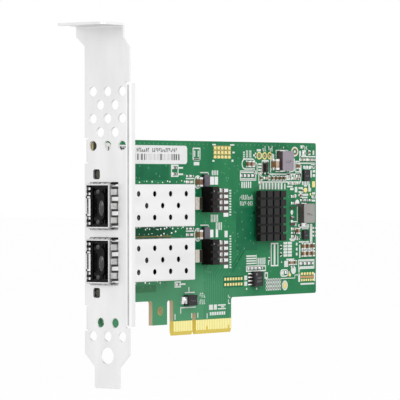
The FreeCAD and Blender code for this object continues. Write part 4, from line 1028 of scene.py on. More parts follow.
@dataclass
class PrintedLegend(Detail):
    """White legend of the component side: outlines round parts, bars and generic strokes."""

    height: float = 0.035
    outlines: Prints = (
        marks(Mark.FRAME, (44.7, 54.3, 49.0, 58.5), (46.7, 16.4, 50.3, 18.5), (57.3, 60.2, 61.8, 64.4),
            (85.6, 53.0, 95.6, 56.6), (99.1, 55.1, 103.3, 60.4), (97.0, 52.3, 124.0, 55.6),
            (120.3, 56.0, 123.1, 60.2), (122.2, 21.0, 132.6, 24.5), (100.8, 18.1, 102.8, 20.4),
            (89.3, 20.8, 101.6, 23.0), (104.7, 22.4, 109.4, 30.8), (129.8, 30.4, 131.3, 37.3))
        + marks(Mark.OVAL, (86.6, 56.9, 95.2, 60.9), (94.2, 55.0, 96.4, 59.6), (110.5, 18.5, 115.8, 21.2))
        + marks(Mark.RING, (117.75, 61.7, 122.25, 65.3), (111.8, 13.6, 115.4, 17.2))
        + again(marks(Mark.OVAL, (58.1, 50.1, 62.3, 54.9)), 2, up=-18.2)
    )
    bars: Prints = (
        # With middles up to 77 mm along.
        marks(Mark.BAR, (50.3, 17.2, 53.0, 17.8), (47.4, 17.0, 49.5, 17.8), (57.9, 58.3, 61.2, 59.5),
            (54.8, 14.6, 55.3, 16.4), (50.0, 7.4, 50.5, 9.4), (46.7, 5.4, 47.2, 7.4), (56.4, 5.6, 56.9, 7.4),
            (60.0, 5.6, 60.5, 7.4), (65.5, 5.2, 66.0, 7.0), (68.9, 65.3, 71.0, 65.8),
            (68.9, 59.6, 70.2, 60.2), (57.8, 60.0, 61.5, 60.6), (52.6, 14.3, 58.4, 14.7),
            (50.0, 9.2, 59.0, 9.6), (66.9, 8.1, 69.2, 9.9), (69.7, 8.1, 71.6, 9.9), (72.1, 8.1, 76.9, 8.55),
            (72.1, 9.35, 76.9, 9.85), (74.0, 8.75, 76.0, 9.2), (75.7, 6.2, 76.6, 7.35))
        # With middles from 77 to 100 mm along.
        + marks(Mark.BAR, (85.9, 55.7, 95.3, 56.3), (85.9, 53.3, 95.3, 53.9), (93.8, 61.6, 95.5, 62.4),
            (96.0, 63.4, 98.5, 64.2), (79.6, 65.3, 82.2, 65.8), (80.5, 59.6, 81.6, 60.4),
            (81.0, 62.6, 82.4, 63.2), (88.0, 54.2, 88.4, 55.4), (90.2, 54.2, 90.6, 55.4),
            (92.5, 54.2, 92.9, 55.4), (94.7, 54.2, 95.2, 55.4), (94.8, 61.0, 95.6, 63.0),
            (99.0, 60.9, 99.4, 62.8), (89.6, 22.3, 101.2, 22.7), (95.6, 23.3, 95.9, 26.8),
            (88.2, 17.9, 90.0, 19.5), (88.2, 15.9, 90.0, 17.4), (76.2, 33.2, 78.1, 35.5))
        # With middles beyond 100 mm along, over 50 mm up.
        + marks(Mark.BAR, (106.2, 61.1, 106.8, 62.5), (108.2, 63.75, 115.8, 64.05),
            (107.9, 61.1, 108.25, 64.05), (107.7, 56.1, 112.5, 56.45), (123.7, 64.7, 125.8, 65.8),
            (122.9, 61.4, 124.0, 63.8), (124.8, 62.0, 127.2, 64.1), (103.0, 53.0, 104.2, 54.9),
            (114.6, 53.2, 117.0, 55.8), (120.4, 53.3, 123.6, 53.9), (120.4, 55.2, 123.6, 55.8),
            (105.6, 60.9, 106.0, 62.8), (104.4, 55.9, 104.9, 61.8), (102.9, 55.0, 104.0, 55.5),
            (116.4, 56.0, 118.4, 58.6), (118.9, 56.4, 120.0, 61.0), (116.3, 59.2, 118.2, 60.4),
            (123.4, 59.1, 133.0, 59.6), (123.4, 61.5, 133.4, 62.0), (128.6, 62.6, 130.2, 63.6),
            (131.6, 62.4, 132.6, 64.0), (123.2, 54.2, 124.3, 58.6), (130.0, 54.2, 131.0, 56.8),
            (131.6, 54.4, 133.2, 55.4), (131.6, 56.0, 133.2, 56.9), (122.4, 50.0, 125.2, 50.7),
            (128.8, 49.0, 129.8, 51.8), (117.0, 49.6, 119.2, 50.4), (113.2, 49.9, 114.0, 52.0),
            (115.0, 50.6, 118.6, 51.2), (125.9, 50.9, 127.9, 51.5))
        # With middles beyond 100 mm along, from 33 to 50 mm up.
        + marks(Mark.BAR, (121.4, 37.8, 121.8, 44.8), (117.6, 38.0, 121.5, 38.4), (130.2, 31.0, 130.9, 36.7),
            (122.4, 48.6, 125.2, 49.2), (124.6, 46.6, 128.2, 47.2), (120.0, 48.8, 121.6, 50.8),
            (131.2, 48.0, 133.2, 48.8), (131.2, 45.4, 133.2, 46.1), (124.6, 35.4, 128.8, 35.8),
            (122.2, 36.4, 124.2, 37.2), (119.9, 36.6, 121.0, 37.6), (122.4, 47.4, 124.6, 48.2),
            (125.0, 47.5, 128.6, 48.3), (129.9, 49.1, 130.5, 50.4), (131.2, 46.5, 133.2, 47.4),
            (123.0, 35.9, 129.2, 37.3))
        # With middles beyond 100 mm along, under 33 mm up.
        + marks(Mark.BAR, (122.8, 25.1, 123.6, 29.9), (123.0, 21.5, 132.0, 22.0), (122.2, 16.4, 123.4, 19.4),
            (110.5, 17.75, 120.1, 18.05), (119.8, 18.0, 120.1, 19.0), (119.8, 18.8, 122.8, 19.1),
            (122.5, 19.0, 122.8, 21.1), (106.5, 22.9, 107.6, 30.3), (122.6, 30.6, 129.2, 31.1),
            (124.2, 27.8, 132.4, 28.1), (116.6, 31.6, 120.6, 32.2), (122.2, 20.0, 123.2, 21.0),
            (123.6, 15.3, 132.6, 15.9), (132.4, 16.4, 133.2, 19.4), (123.2, 23.7, 132.0, 24.1),
            (101.0, 23.4, 101.3, 25.8), (103.0, 22.9, 103.5, 25.0), (122.9, 22.7, 132.1, 23.4),
            (114.6, 24.3, 119.6, 24.95), (110.9, 19.2, 112.9, 20.6), (113.2, 22.0, 115.7, 24.2))
        # At even steps.
        + again(marks(Mark.BAR, (49.0, 57.1, 51.7, 57.7)), 2, up=-2.2)
        + again(marks(Mark.BAR, (58.2, 61.2, 58.8, 63.4)), 2, along=2.1)
        + again(marks(Mark.BAR, (53.3, 53.5, 57.9, 54.0), (53.3, 50.9, 57.9, 51.4)), 2, up=-18.1)
        + again(marks(Mark.BAR, (61.8, 55.6, 66.8, 56.0), (66.4, 53.4, 66.8, 56.0)), 2, up=-18.2)
        + again(marks(Mark.BAR, (67.3, 6.2, 68.4, 7.35)), 6, along=1.4)
        + again(marks(Mark.BAR, (112.7, 25.7, 115.2, 26.6), (115.5, 25.7, 118.1, 26.6)), 5, up=1.1)
    )
    patterns: Prints = (
        marks(Mark.COMB, (97.2, 49.9, 112.5, 52.2, 8), (101.5, 13.8, 111.2, 18.1, 9),
            (96.2, 23.2, 101.0, 25.6, 4), (86.2, 50.4, 92.8, 52.7, 5), (68.4, 54.9, 72.6, 56.6, 4),
            (67.8, 38.6, 72.5, 41.2, 5), (70.8, 35.8, 74.8, 38.5, 4))
        + marks(Mark.RUNGS, (87.5, 60.6, 88.6, 63.4, 1, 4), (89.3, 61.1, 90.6, 63.8, 1, 4),
            (91.3, 61.1, 92.7, 63.8, 1, 4), (101.5, 14.0, 111.2, 18.0, 1, 3), (96.9, 55.2, 98.9, 59.4, 1, 4),
            (89.5, 23.3, 95.4, 26.8, 1, 4), (130.5, 57.6, 133.1, 59.5, 1, 2),
            (117.2, 31.0, 119.8, 31.9, 1, 1))
        + marks(Mark.GRID, (78.7, 40.6, 80.7, 50.0, 1, 10), (78.8, 22.2, 80.7, 34.0, 1, 13),
            (120.3, 25.6, 122.1, 31.0, 1, 3), (125.0, 56.9, 133.2, 58.9, 4, 1),
            (117.0, 53.0, 124.0, 55.4, 4, 2))
        + marks(Mark.DOT, (89.2, 14.4, 90.0, 15.2), (95.4, 14.3, 96.2, 15.1), (112.5, 64.6, 113.1, 65.2),
            (128.5, 62.4, 129.3, 63.2), (119.4, 63.0, 120.6, 64.0), (111.2, 23.5, 111.8, 24.1),
            (117.5, 19.3, 120.7, 22.3), (38.1, 17.9, 38.9, 18.7))
    )
    strokes: Prints = (
        marks(Mark.STROKES, (61.4, 12.5, 64.9, 14.2), (61.4, 10.2, 64.9, 11.9), (78.3, 11.9, 80.1, 13.6),
            (78.3, 9.8, 80.1, 11.4), (125.0, 64.2, 128.4, 65.6), (85.6, 46.3, 93.8, 48.0),
            (85.6, 44.2, 93.8, 45.8), (99.7, 63.4, 102.1, 65.4), (103.3, 63.4, 106.3, 65.4))
    )

    @property
    def solid(self) -> Prints:
        """Every mark but the strokes."""
        return self.outlines + self.bars + self.patterns

    def build(self) -> None:
        """Print the legend."""
        relief = Relief(self.places)
        Printer(relief, self.height).draw(self.solid + self.strokes)
        relief.build("printed_legend", "laminate", self.finishes.get(Plastic.PRINT))


@dataclass
class PlatedPads(Detail):
    """Bare gold, tin and copper pads of the component side, the dark ground round some of them, and painted
    shade: on the mask by the cages, the heat sink and the bracket, on the coils' tops and between leads.
    """

    height: float = 0.045
    ground_height: float = 0.015
    gap_height: float = 0.3
    gold_share: float = 0.68
    tin_share: float = 0.55
    gold: Prints = (
        marks(Mark.GRID, (69.6, 60.5, 80.2, 65.2, 5, 3), (75.8, 15.9, 87.3, 17.4, 7, 1),
            (75.8, 17.8, 87.3, 19.3, 7, 1), (123.7, 18.6, 132.6, 20.0, 5, 1),
            (123.7, 16.4, 132.6, 17.6, 6, 1), (130.8, 50.1, 133.5, 53.3, 1, 1))
        + marks(Mark.RING, (95.9, 60.5, 98.9, 63.3), (99.5, 60.5, 102.2, 63.2), (102.6, 60.6, 105.5, 63.3),
            (112.4, 14.2, 114.8, 16.6))
        + marks(Mark.DOT, (125.7, 48.7, 128.1, 50.5), (115.9, 18.5, 117.5, 19.7), (113.0, 14.8, 114.2, 16.0),
            (129.6, 47.6, 130.6, 48.6))
    )
    tin: Prints = (
        marks(Mark.BAR, (75.9, 49.0, 78.4, 50.2), (75.9, 46.95, 78.4, 48.1), (75.9, 44.9, 78.4, 46.05),
            (75.9, 42.8, 78.4, 44.0), (75.6, 40.4, 78.5, 41.8), (75.9, 30.9, 78.3, 32.0),
            (75.9, 28.85, 78.3, 29.95), (75.9, 26.8, 78.3, 27.9), (75.9, 24.7, 78.3, 25.8),
            (75.9, 22.4, 78.3, 23.6), (67.6, 51.6, 70.0, 54.4), (70.3, 51.6, 72.3, 54.4),
            (67.6, 33.3, 69.5, 36.0), (70.9, 33.3, 72.3, 36.0), (124.8, 36.4, 126.6, 37.4))
        + marks(Mark.COMB, (126.3, 57.1, 129.9, 58.4, 4), (124.4, 51.4, 129.6, 52.8, 5))
        + marks(Mark.RUNGS, (123.2, 32.2, 124.6, 34.7, 1, 3))
        + marks(Mark.DOT, (93.7, 41.1, 94.7, 42.1), (117.3, 40.7, 119.1, 42.5), (117.4, 37.9, 119.0, 38.9),
            (120.2, 43.6, 122.9, 46.2), (119.6, 46.8, 121.0, 48.2), (100.2, 59.3, 101.0, 60.0),
            (101.4, 59.3, 102.2, 60.0), (100.7, 55.2, 101.5, 56.0))
        + marks(Mark.SPECKS, (24.4, 36.2, 46.0, 37.6, 14), (23.4, 34.2, 46.6, 35.6, 10),
            (46.0, 34.6, 53.0, 37.4, 4), (14.0, 52.1, 54.0, 53.3, 15), (20.0, 18.0, 38.0, 19.0, 5))
    )
    copper: Prints = (
        marks(Mark.BAR, (123.7, 17.7, 132.5, 18.5))
        + marks(Mark.RING, (118.1, 62.05, 121.9, 64.95))
        + marks(Mark.DOT, (100.4, 61.4, 101.3, 62.3), (103.6, 61.5, 104.5, 62.4), (96.9, 61.4, 97.9, 62.4))
    )
    bare: Prints = (
        marks(Mark.BAR, (14.0, 33.9, 45.0, 34.3))
        + marks(Mark.RING, (36.9, 7.1, 40.0, 10.2))
        + marks(Mark.RUNGS, (69.5, 60.6, 80.2, 65.4, 1, 4))
    )
    # Mostly painted shadow: darker mask above and between the cages, behind the cages' rear ends and beside
    # the heat sink; the first bar is the darker mask between gold pads.
    shaded: Prints = (
        marks(Mark.BAR, (75.5, 15.6, 87.6, 19.6), (13.0, 53.2, 43.5, 58.4), (13.0, 34.3, 45.6, 37.4),
            (83.2, 28.4, 96.2, 43.6))
        + again(marks(Mark.BAR, (55.4, 47.6, 61.4, 50.8)), 2, up=-18.1)
    )
    # Painted shadow across one end of each port coil's top.
    coil_ends: Prints = again(marks(Mark.BAR, (59.1, 43.0, 60.88, 47.3)), 2, up=-18.15)
    coil_top: float = 1.6
    # Painted shadow: dark olive where the bracket shades the board, seen through the bracket's holes.
    bracket_shadow: Prints = marks(Mark.BAR, (1.62, 62.4, 5.0, 66.58))
    # Partly painted shadow: a darker band under the lower cage, over copper under the mask.
    pale_shaded: Prints = marks(Mark.BAR, (13.0, 15.2, 36.1, 17.6))
    # Mostly painted shade: dark bars where shade falls between leads, pads and parts; partly the parts' own
    # dark bodies.
    dark: Prints = (
        marks(Mark.BAR, (67.6, 48.1, 78.2, 49.0), (67.6, 46.05, 78.2, 46.95), (67.6, 44.0, 78.2, 44.9),
            (67.6, 41.9, 78.2, 42.7), (67.6, 29.95, 78.1, 30.85), (67.6, 27.9, 78.1, 28.8),
            (67.6, 25.85, 78.1, 26.75), (67.6, 23.8, 78.1, 24.6), (90.7, 16.5, 92.3, 17.3),
            (90.7, 17.8, 92.3, 18.6), (90.7, 19.1, 92.3, 19.9), (99.4, 56.0, 100.4, 59.6),
            (101.8, 56.0, 102.9, 59.6), (119.9, 33.7, 122.0, 34.3), (116.8, 36.9, 120.0, 37.8),
            (116.8, 42.9, 119.6, 43.6), (116.9, 39.1, 119.4, 40.2))
    )

    def lay(self, name: str, slot: str, items: Prints, finish: Enum, height: float,
            share: float) -> None:
        """Make one sort of pad.

        Args:
            name: Name of the piece.
            slot: Material slot of the record.
            items: Marks to draw.
            finish: Finish of the piece.
            height: Height over the board.
            share: Part of each grid cell that is filled.
        """
        relief = Relief(self.places)
        Printer(relief, height, bar_share=share).draw(items)
        relief.build(name, slot, self.finishes.get(finish))

    def lay_coil_shadows(self) -> None:
        """Painted shadow across one end of each port coil's top."""
        relief = Relief(self.places, ground=self.coil_top)
        Printer(relief, self.ground_height).draw(self.coil_ends)
        relief.build("coil_ends", "resistor_dark", self.finishes.get(Plastic.OLIVE))

    def build(self) -> None:
        """Make every sort of pad."""
        ground = (self.ground_height, self.gold_share)
        self.lay("gold_pads", "contact_gold", self.gold, Metal.GOLD, self.height, self.gold_share)
        self.lay("tinned_pads", "tinned", self.tin, Metal.SOLDER, self.height, self.tin_share)
        self.lay("copper_grounds", "contact_gold", self.copper, Metal.COPPER, *ground)
        self.lay("bare_laminate", "laminate", self.bare, Plastic.LAMINATE, *ground)
        self.lay("clear_of_copper", "laminate", self.shaded, Plastic.SHADED_MASK, *ground)
        self.lay("keep_out_mask", "laminate", self.bracket_shadow, Plastic.OLIVE, *ground)
        self.lay_coil_shadows()
        self.lay("pale_clear_of_copper", "laminate", self.pale_shaded, Plastic.PALE_SHADE, *ground)
        self.lay("pad_gaps", "resistor_dark", self.dark, Plastic.RESISTOR, self.gap_height, self.gold_share)


@dataclass(frozen=True)
class Chip:
    """Small two-ended part: its middle, its size, and whether its length runs up the board."""

    along: float
    up: float
    length: float = 1.6
    width: float = 0.8
    height: float = 0.5
    upright: bool = False

    def row(self, count: int, along: float = 0.0, up: float = 0.0) -> tuple["Chip", ...]:
        """The same chip count times, at an even step along and up the board."""
        return tuple(replace(self, along=self.along + step * along, up=self.up + step * up)
                     for step in range(count))


@dataclass
class FineChips(Detail):
    """The smallest two-ended parts: bodies with metal ends and solder fillets."""

    end_share: float = 0.24
    end_proud: float = 0.02
    body_corner: float = 0.04
    end_corner: float = 0.08
    solder_out: float = 0.3
    solder_in: float = 0.05
    solder_beside: float = 0.1
    solder_wrap: float = 0.03
    solder_corner: float = 0.2
    solder_foot: float = 0.05
    solder_climb: float = 0.55
    brown: tuple[Chip, ...] = (
        Chip(126.3, 60.6), Chip(131.2, 60.6), Chip(98.6, 53.9, upright=True),
        Chip(115.7, 54.5, 1.3, 0.7, 0.5), Chip(121.8, 54.5, 1.6, 0.8, 0.6), Chip(118.1, 23.5, upright=True),
        Chip(98.0, 52.2, 1.2, 0.6), Chip(98.0, 56.2, 1.2, 0.6, 0.4, True),
        Chip(123.6, 47.6, 1.4, 0.8, 0.6, True), Chip(131.8, 47.2, 1.4, 0.8, 0.6),
        Chip(124.6, 49.4, 1.2, 0.6, 0.5, True), Chip(103.4, 53.9, 1.4, 0.8, 0.5, True),
        Chip(115.2, 57.4, 1.6, 0.9, 0.7, True), Chip(118.0, 56.9, 1.2, 0.8, 0.5, True),
        Chip(129.2, 63.2, 1.4, 0.8, 0.5, True), Chip(116.4, 52.0, 1.4, 0.8, 0.5),
        Chip(119.2, 51.9, 1.4, 0.8, 0.5), Chip(122.0, 52.0, 1.2, 0.6, 0.5)
    )
    dark: tuple[Chip, ...] = (
        (Chip(94.0, 54.8, 1.6, 0.8, 0.45), Chip(120.7, 32.6, 1.4, 0.8, 0.4),
            Chip(118.4, 39.9, 1.2, 0.7, 0.35), Chip(48.5, 17.45, 1.4, 0.6, 0.35),
            Chip(103.4, 25.0, 1.2, 0.6, 0.35, True), Chip(111.0, 26.6, 1.2, 0.6, 0.35, True),
            Chip(111.0, 29.2, 1.2, 0.6, 0.35, True), Chip(54.5, 54.6, 1.4, 0.6, 0.35),
            Chip(56.8, 54.6, 1.4, 0.6, 0.35), Chip(54.5, 36.5, 1.4, 0.6, 0.35),
            Chip(56.8, 36.5, 1.4, 0.6, 0.35), Chip(132.2, 60.6, 1.4, 0.7, 0.4),
            Chip(126.2, 63.0, 1.3, 0.7, 0.35), Chip(118.6, 34.2, 1.4, 0.7, 0.4),
            Chip(122.0, 31.9, 1.2, 0.6, 0.35), Chip(118.4, 21.9, 1.3, 0.6, 0.35))
        + Chip(91.3, 21.9, 1.5, 0.7, 0.35).row(4, along=2.4)
        + Chip(132.4, 33.0, 1.2, 0.6, 0.35).row(3, up=1.4)
        + Chip(124.4, 45.9, 1.4, 0.7, 0.4).row(3, along=2.8)
    )

    def shape(self, chip: Chip, body: Relief, ends: Relief, fillets: Relief) -> None:
        """Add one chip to the gathered meshes.

        Args:
            chip: The part.
            body: Mesh of the bodies.
            ends: Mesh of the metal ends.
            fillets: Mesh of the solder.
        """
        half, wide, cap = chip.length / 2, chip.width / 2, chip.length * self.end_share

        def box(start: float, end: float, proud: float) -> Rectangle:
            """Rectangle of a stretch of the chip that stands proud at its sides."""
            stretch, sides = (start, end), (-wide - proud, wide + proud)
            (left, right), (low, high) = (sides, stretch) if chip.upright else (stretch, sides)
            return Rectangle(chip.along + left, chip.up + low, chip.along + right, chip.up + high)

        body.slab(box(cap - half, half - cap, 0.0), chip.height, self.body_corner)
        for start, end, before, behind in ((-half, cap - half, self.solder_out, -self.solder_in),
                                           (half - cap, half, -self.solder_in, self.solder_out)):
            ends.slab(box(start, end, self.end_proud), chip.height + self.end_proud, self.end_corner)
            outer = rounded(box(start - before, end + behind, self.solder_beside), self.solder_corner)
            inner = rounded(box(start, end, self.solder_wrap), self.end_corner)
            levels = [-Relief.sunk, self.solder_foot, chip.height * self.solder_climb]
            fillets.loft([outer, outer, inner], levels)

    def build(self) -> None:
        """Make the chips."""
        ends, fillets = Relief(self.places), Relief(self.places)
        for name, chips, slot, finish in (("brown_fine_chips", self.brown, "capacitor_brown", Fired.CERAMIC),
                                          ("dark_fine_chips", self.dark, "resistor_dark", Plastic.RESISTOR)):
            bodies = Relief(self.places)
            for chip in chips:
                self.shape(chip, bodies, ends, fillets)
            bodies.build(name, slot, self.finishes.get(finish))
        ends.build("fine_chip_ends", "tinned", self.finishes.get(Metal.TIN))
        fillets.build("fine_chip_fillets", "tinned", self.finishes.get(Metal.SOLDER), smooth=True)


@dataclass
class SolderJoints(Detail):
    """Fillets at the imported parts' ends and leads, and cones round the legs that pass through the board."""

    spread: float = 0.30
    side_spread: float = 0.12
    overlap: float = 0.04
    wrap: float = 0.01
    corners: Point = (0.18, 0.14, 0.06)
    foot_height: float = 0.05
    middle_share: float = 0.4
    climb: float = 0.6
    lead_height: float = 0.25
    lead_depth: float = 0.3
    leg_reach: float = 0.85
    leg_clear: float = 0.01
    leg_sides: int = 20
    leg_steps: tuple[Place, ...] = ((1.0, 0.03), (0.62, 0.126), (0.36, 0.3024), (0.2, 0.42))
    ends: tuple[tuple[str, tuple[str, ...]], ...] = (
        ("capacitor_ends", ("capacitors",)),
        ("resistor_ends", ("resistors",)),
        ("inductor_terminals", ("power_inductor_a", "power_inductor_b")),
        ("diode_terminals", ("diode",)),
        ("memory_leads", ("memory_chip",)),
        ("line_filter_leads", ("line_filter_upper", "line_filter_lower")),
        ("module_socket_contacts", ("module_socket_upper", "module_socket_lower")),
    )
    leggy: tuple[str, ...] = ("cage_upper", "cage_lower")

    def fillet(self, relief: Relief, part: Part, away: Place, tall: float) -> None:
        """Solder at one end of a part.

        Args:
            relief: Mesh of the solder.
            part: Box of the metal end.
            away: Direction out from the body, along and up, each -1, 0 or 1.
            tall: Height that the solder climbs.
        """
        reach = [self.spread if step else self.side_spread for step in away]
        before = [self.overlap if step > 0 else -size for step, size in zip(away, reach)]
        behind = [-self.overlap if step < 0 else size for step, size in zip(away, reach)]
        metal = (part.left, part.low, part.right, part.high)
        ground = [place + step for place, step in zip(metal, before + behind)]
        slope = [(far + 2 * near) / 3 for far, near in zip(ground, metal)]
        boxes = (Rectangle(*ground), Rectangle(*slope), part.grown(self.wrap))
        outer, middle, inner = (rounded(box, corner) for box, corner in zip(boxes, self.corners))
        relief.loft([outer, outer, middle, inner],
                    [-Relief.sunk, self.foot_height, tall * self.middle_share, tall])

    def part_joints(self, relief: Relief) -> None:
        """Solder at every packed end and lead.

        Args:
            relief: Mesh of the solder.
        """
        for node, bodies in self.ends:
            owners = [part for body in bodies for part in separate_parts(body, self.places)]
            for part in separate_parts(node, self.places):
                owner = min(owners, key=lambda body: math.dist(body.middle, part.middle))
                along, up = (here - there for here, there in zip(part.middle, owner.middle))
                at_side = abs(along) / owner.wide > abs(up) / owner.tall
                away = (math.copysign(1.0, along), 0.0) if at_side else (0.0, math.copysign(1.0, up))
                most = self.lead_height if part.depth < -self.lead_depth else math.inf
                self.fillet(relief, part, away, min(part.height * self.climb, most))

    def leg_joints(self, relief: Relief) -> int:
        """Cone of solder round each leg on the solder side.

        Args:
            relief: Mesh of the solder.

        Returns:
            Number of legs.
        """
        thick = (self.places.back_y - self.places.front_y) / MM
        legs = [leg for node in self.leggy
                for leg in separate_parts(node, self.places, thick + self.leg_clear)]
        for leg in legs:
            outlines = [oval(*leg.middle, leg.wide / 2 + self.leg_reach * share,
                             leg.tall / 2 + self.leg_reach * share, self.leg_sides)
                        for share, _ in self.leg_steps]
            relief.loft(outlines[:1] + outlines, [-Relief.sunk] + [level for _, level in self.leg_steps])
        return len(legs)

    def build(self) -> None:
        """Make the solder."""
        front = Relief(self.places)
        self.part_joints(front)
        front.build("part_solder", "tinned", self.finishes.get(Metal.SOLDER), smooth=True)
        back = Relief(self.places, Side.SOLDER)
        LOG.info("soldered %d legs", self.leg_joints(back))
        back.build("leg_solder", "tinned", self.finishes.get(Metal.SOLDER), smooth=True)


@dataclass
class TracesAndVias(Detail):
    """Raised tracks under the mask and small plated holes that show on both sides."""

    track_width: float = 0.26
    track_height: float = 0.012
    sharpest: float = 0.5
    contact_tracks: int = 14
    contact_start: Place = (64.0, 5.2)
    contact_pitch: float = 1.1
    contact_rise: float = 14.8
    rise_step: float = 0.75
    track_shift: float = 13.0
    end_step: float = 0.8
    end_turn: float = 3.0
    port_tracks: int = 6
    port_levels: tuple[Span, ...] = ((47.6, 39.4), (21.2, 31.6))
    port_ends: Span = (80.9, 82.0)
    port_pitch: float = 0.55
    chip_pitch: float = 1.1
    via_reach: float = 0.32
    via_hole: float = 0.13
    via_height: float = 0.03
    via_sides: int = 10
    via_clear: float = 0.1
    stitch_start: Place = (14.0, 15.5)
    stitch_pitch: float = 2.6
    stitch_inset: float = 1.1
    scattered: int = 330
    scatter_start: Place = (12.0, 14.6)
    scatter_inset: float = 2.0
    seed: int = 31
    covers: tuple[str, ...] = ("heat_sink", "cage_upper", "cage_lower")

    def run(self, relief: Relief, points: Outline) -> None:
        """Track along a line of points.

        Args:
            relief: Mesh of the tracks.
            points: Places along and up.
        """
        left, right = [], []
        for index, point in enumerate(points):
            before = points[max(index - 1, 0)]
            after = points[min(index + 1, len(points) - 1)]
            first = Vector((point[0] - before[0], point[1] - before[1]))
            second = Vector((after[0] - point[0], after[1] - point[1]))
            first = first.normalized() if first.length else second.normalized()
            second = second.normalized() if second.length else first
            ahead = (first + second).normalized()
            across = Vector((-ahead.y, ahead.x)) * self.track_width / 2 / max(ahead.dot(first), self.sharpest)
            left.append((point[0] + across.x, point[1] + across.y))
            right.append((point[0] - across.x, point[1] - across.y))
        for index in range(len(points) - 1):
            outline = [right[index], right[index + 1], left[index + 1], left[index]]
            relief.loft([outline, outline], [-Relief.sunk, self.track_height])

    def tracks(self, relief: Relief) -> None:
        """Tracks from the contacts and from the two ports to the controller.

        Args:
            relief: Mesh of the tracks.
        """
        chip_left = self.places.outline("network_controller").left
        for index in range(self.contact_tracks):
            start = self.contact_start[0] + index * self.contact_pitch
            rise = self.contact_rise + self.rise_step * (self.contact_tracks - 1 - index)
            level = rise + self.track_shift
            end = chip_left + self.end_step * index
            self.run(relief, [(start, self.contact_start[1]), (start, rise),
                              (start + self.track_shift, level), (end, level),
                              (end + self.end_turn, level + self.end_turn)])
        start, turn = self.port_ends
        for base, target in self.port_levels:
            for index in range(self.port_tracks):
                first, second = base + index * self.port_pitch, target + index * self.chip_pitch
                self.run(relief, [(start, first), (turn, first), (turn + abs(second - first), second),
                                  (chip_left, second)])

    def free(self, along: float, up: float, taken: list[Rectangle]) -> bool:
        """Whether a hole fits at a place, clear of the rectangles that are taken."""
        margin = self.via_reach + self.via_clear
        return all(along < box.left - margin or along > box.right + margin
                   or up < box.low - margin or up > box.high + margin for box in taken)

    def via(self, relief: Relief, along: float, up: float) -> None:
        """One plated hole."""
        relief.hoop(oval(along, up, self.via_reach, self.via_reach, self.via_sides),
                    oval(along, up, self.via_hole, self.via_hole, self.via_sides), self.via_height)

    def spots(self) -> Outline:
        """Places of the holes: along two edges of the board, and scattered over it.

        Returns:
            Places along and up.
        """
        board = self.places.outline("board")
        left, low = self.stitch_start
        spots = [(left + step * self.stitch_pitch, board.high - self.stitch_inset)
                 for step in range(int((board.right - left) / self.stitch_pitch))]
        spots += [(board.right - self.stitch_inset, low + step * self.stitch_pitch)
                  for step in range(int((board.high - low) / self.stitch_pitch))]
        chance = random.Random(self.seed)
        left, low = self.scatter_start
        right, high = board.right - self.scatter_inset, board.high - self.scatter_inset
        return spots + [(chance.uniform(left, right), chance.uniform(low, high))
                        for _ in range(self.scattered)]

    def build(self, prints: Prints) -> None:
        """Make tracks and holes.

        Args:
            prints: Marks that the holes keep clear of.
        """
        tracks = Relief(self.places)
        self.tracks(tracks)
        tracks.build("board_tracks", "laminate", self.finishes.get(Plastic.TRACK))
        taken = [*prints, *(self.places.outline(name) for name in self.covers)]
        for name in frame["nodes"]:
            if name not in ("board", "bracket"):
                taken.extend(separate_parts(name, self.places))
        front, back = Relief(self.places), Relief(self.places, Side.SOLDER)
        for spot in self.spots():
            if self.free(*spot, taken):
                self.via(front, *spot)
            self.via(back, *spot)
        front.build("via_rims", "laminate", self.finishes.get(Plastic.VIA))
        back.build("via_rims_solder_side", "laminate", self.finishes.get(Plastic.VIA))


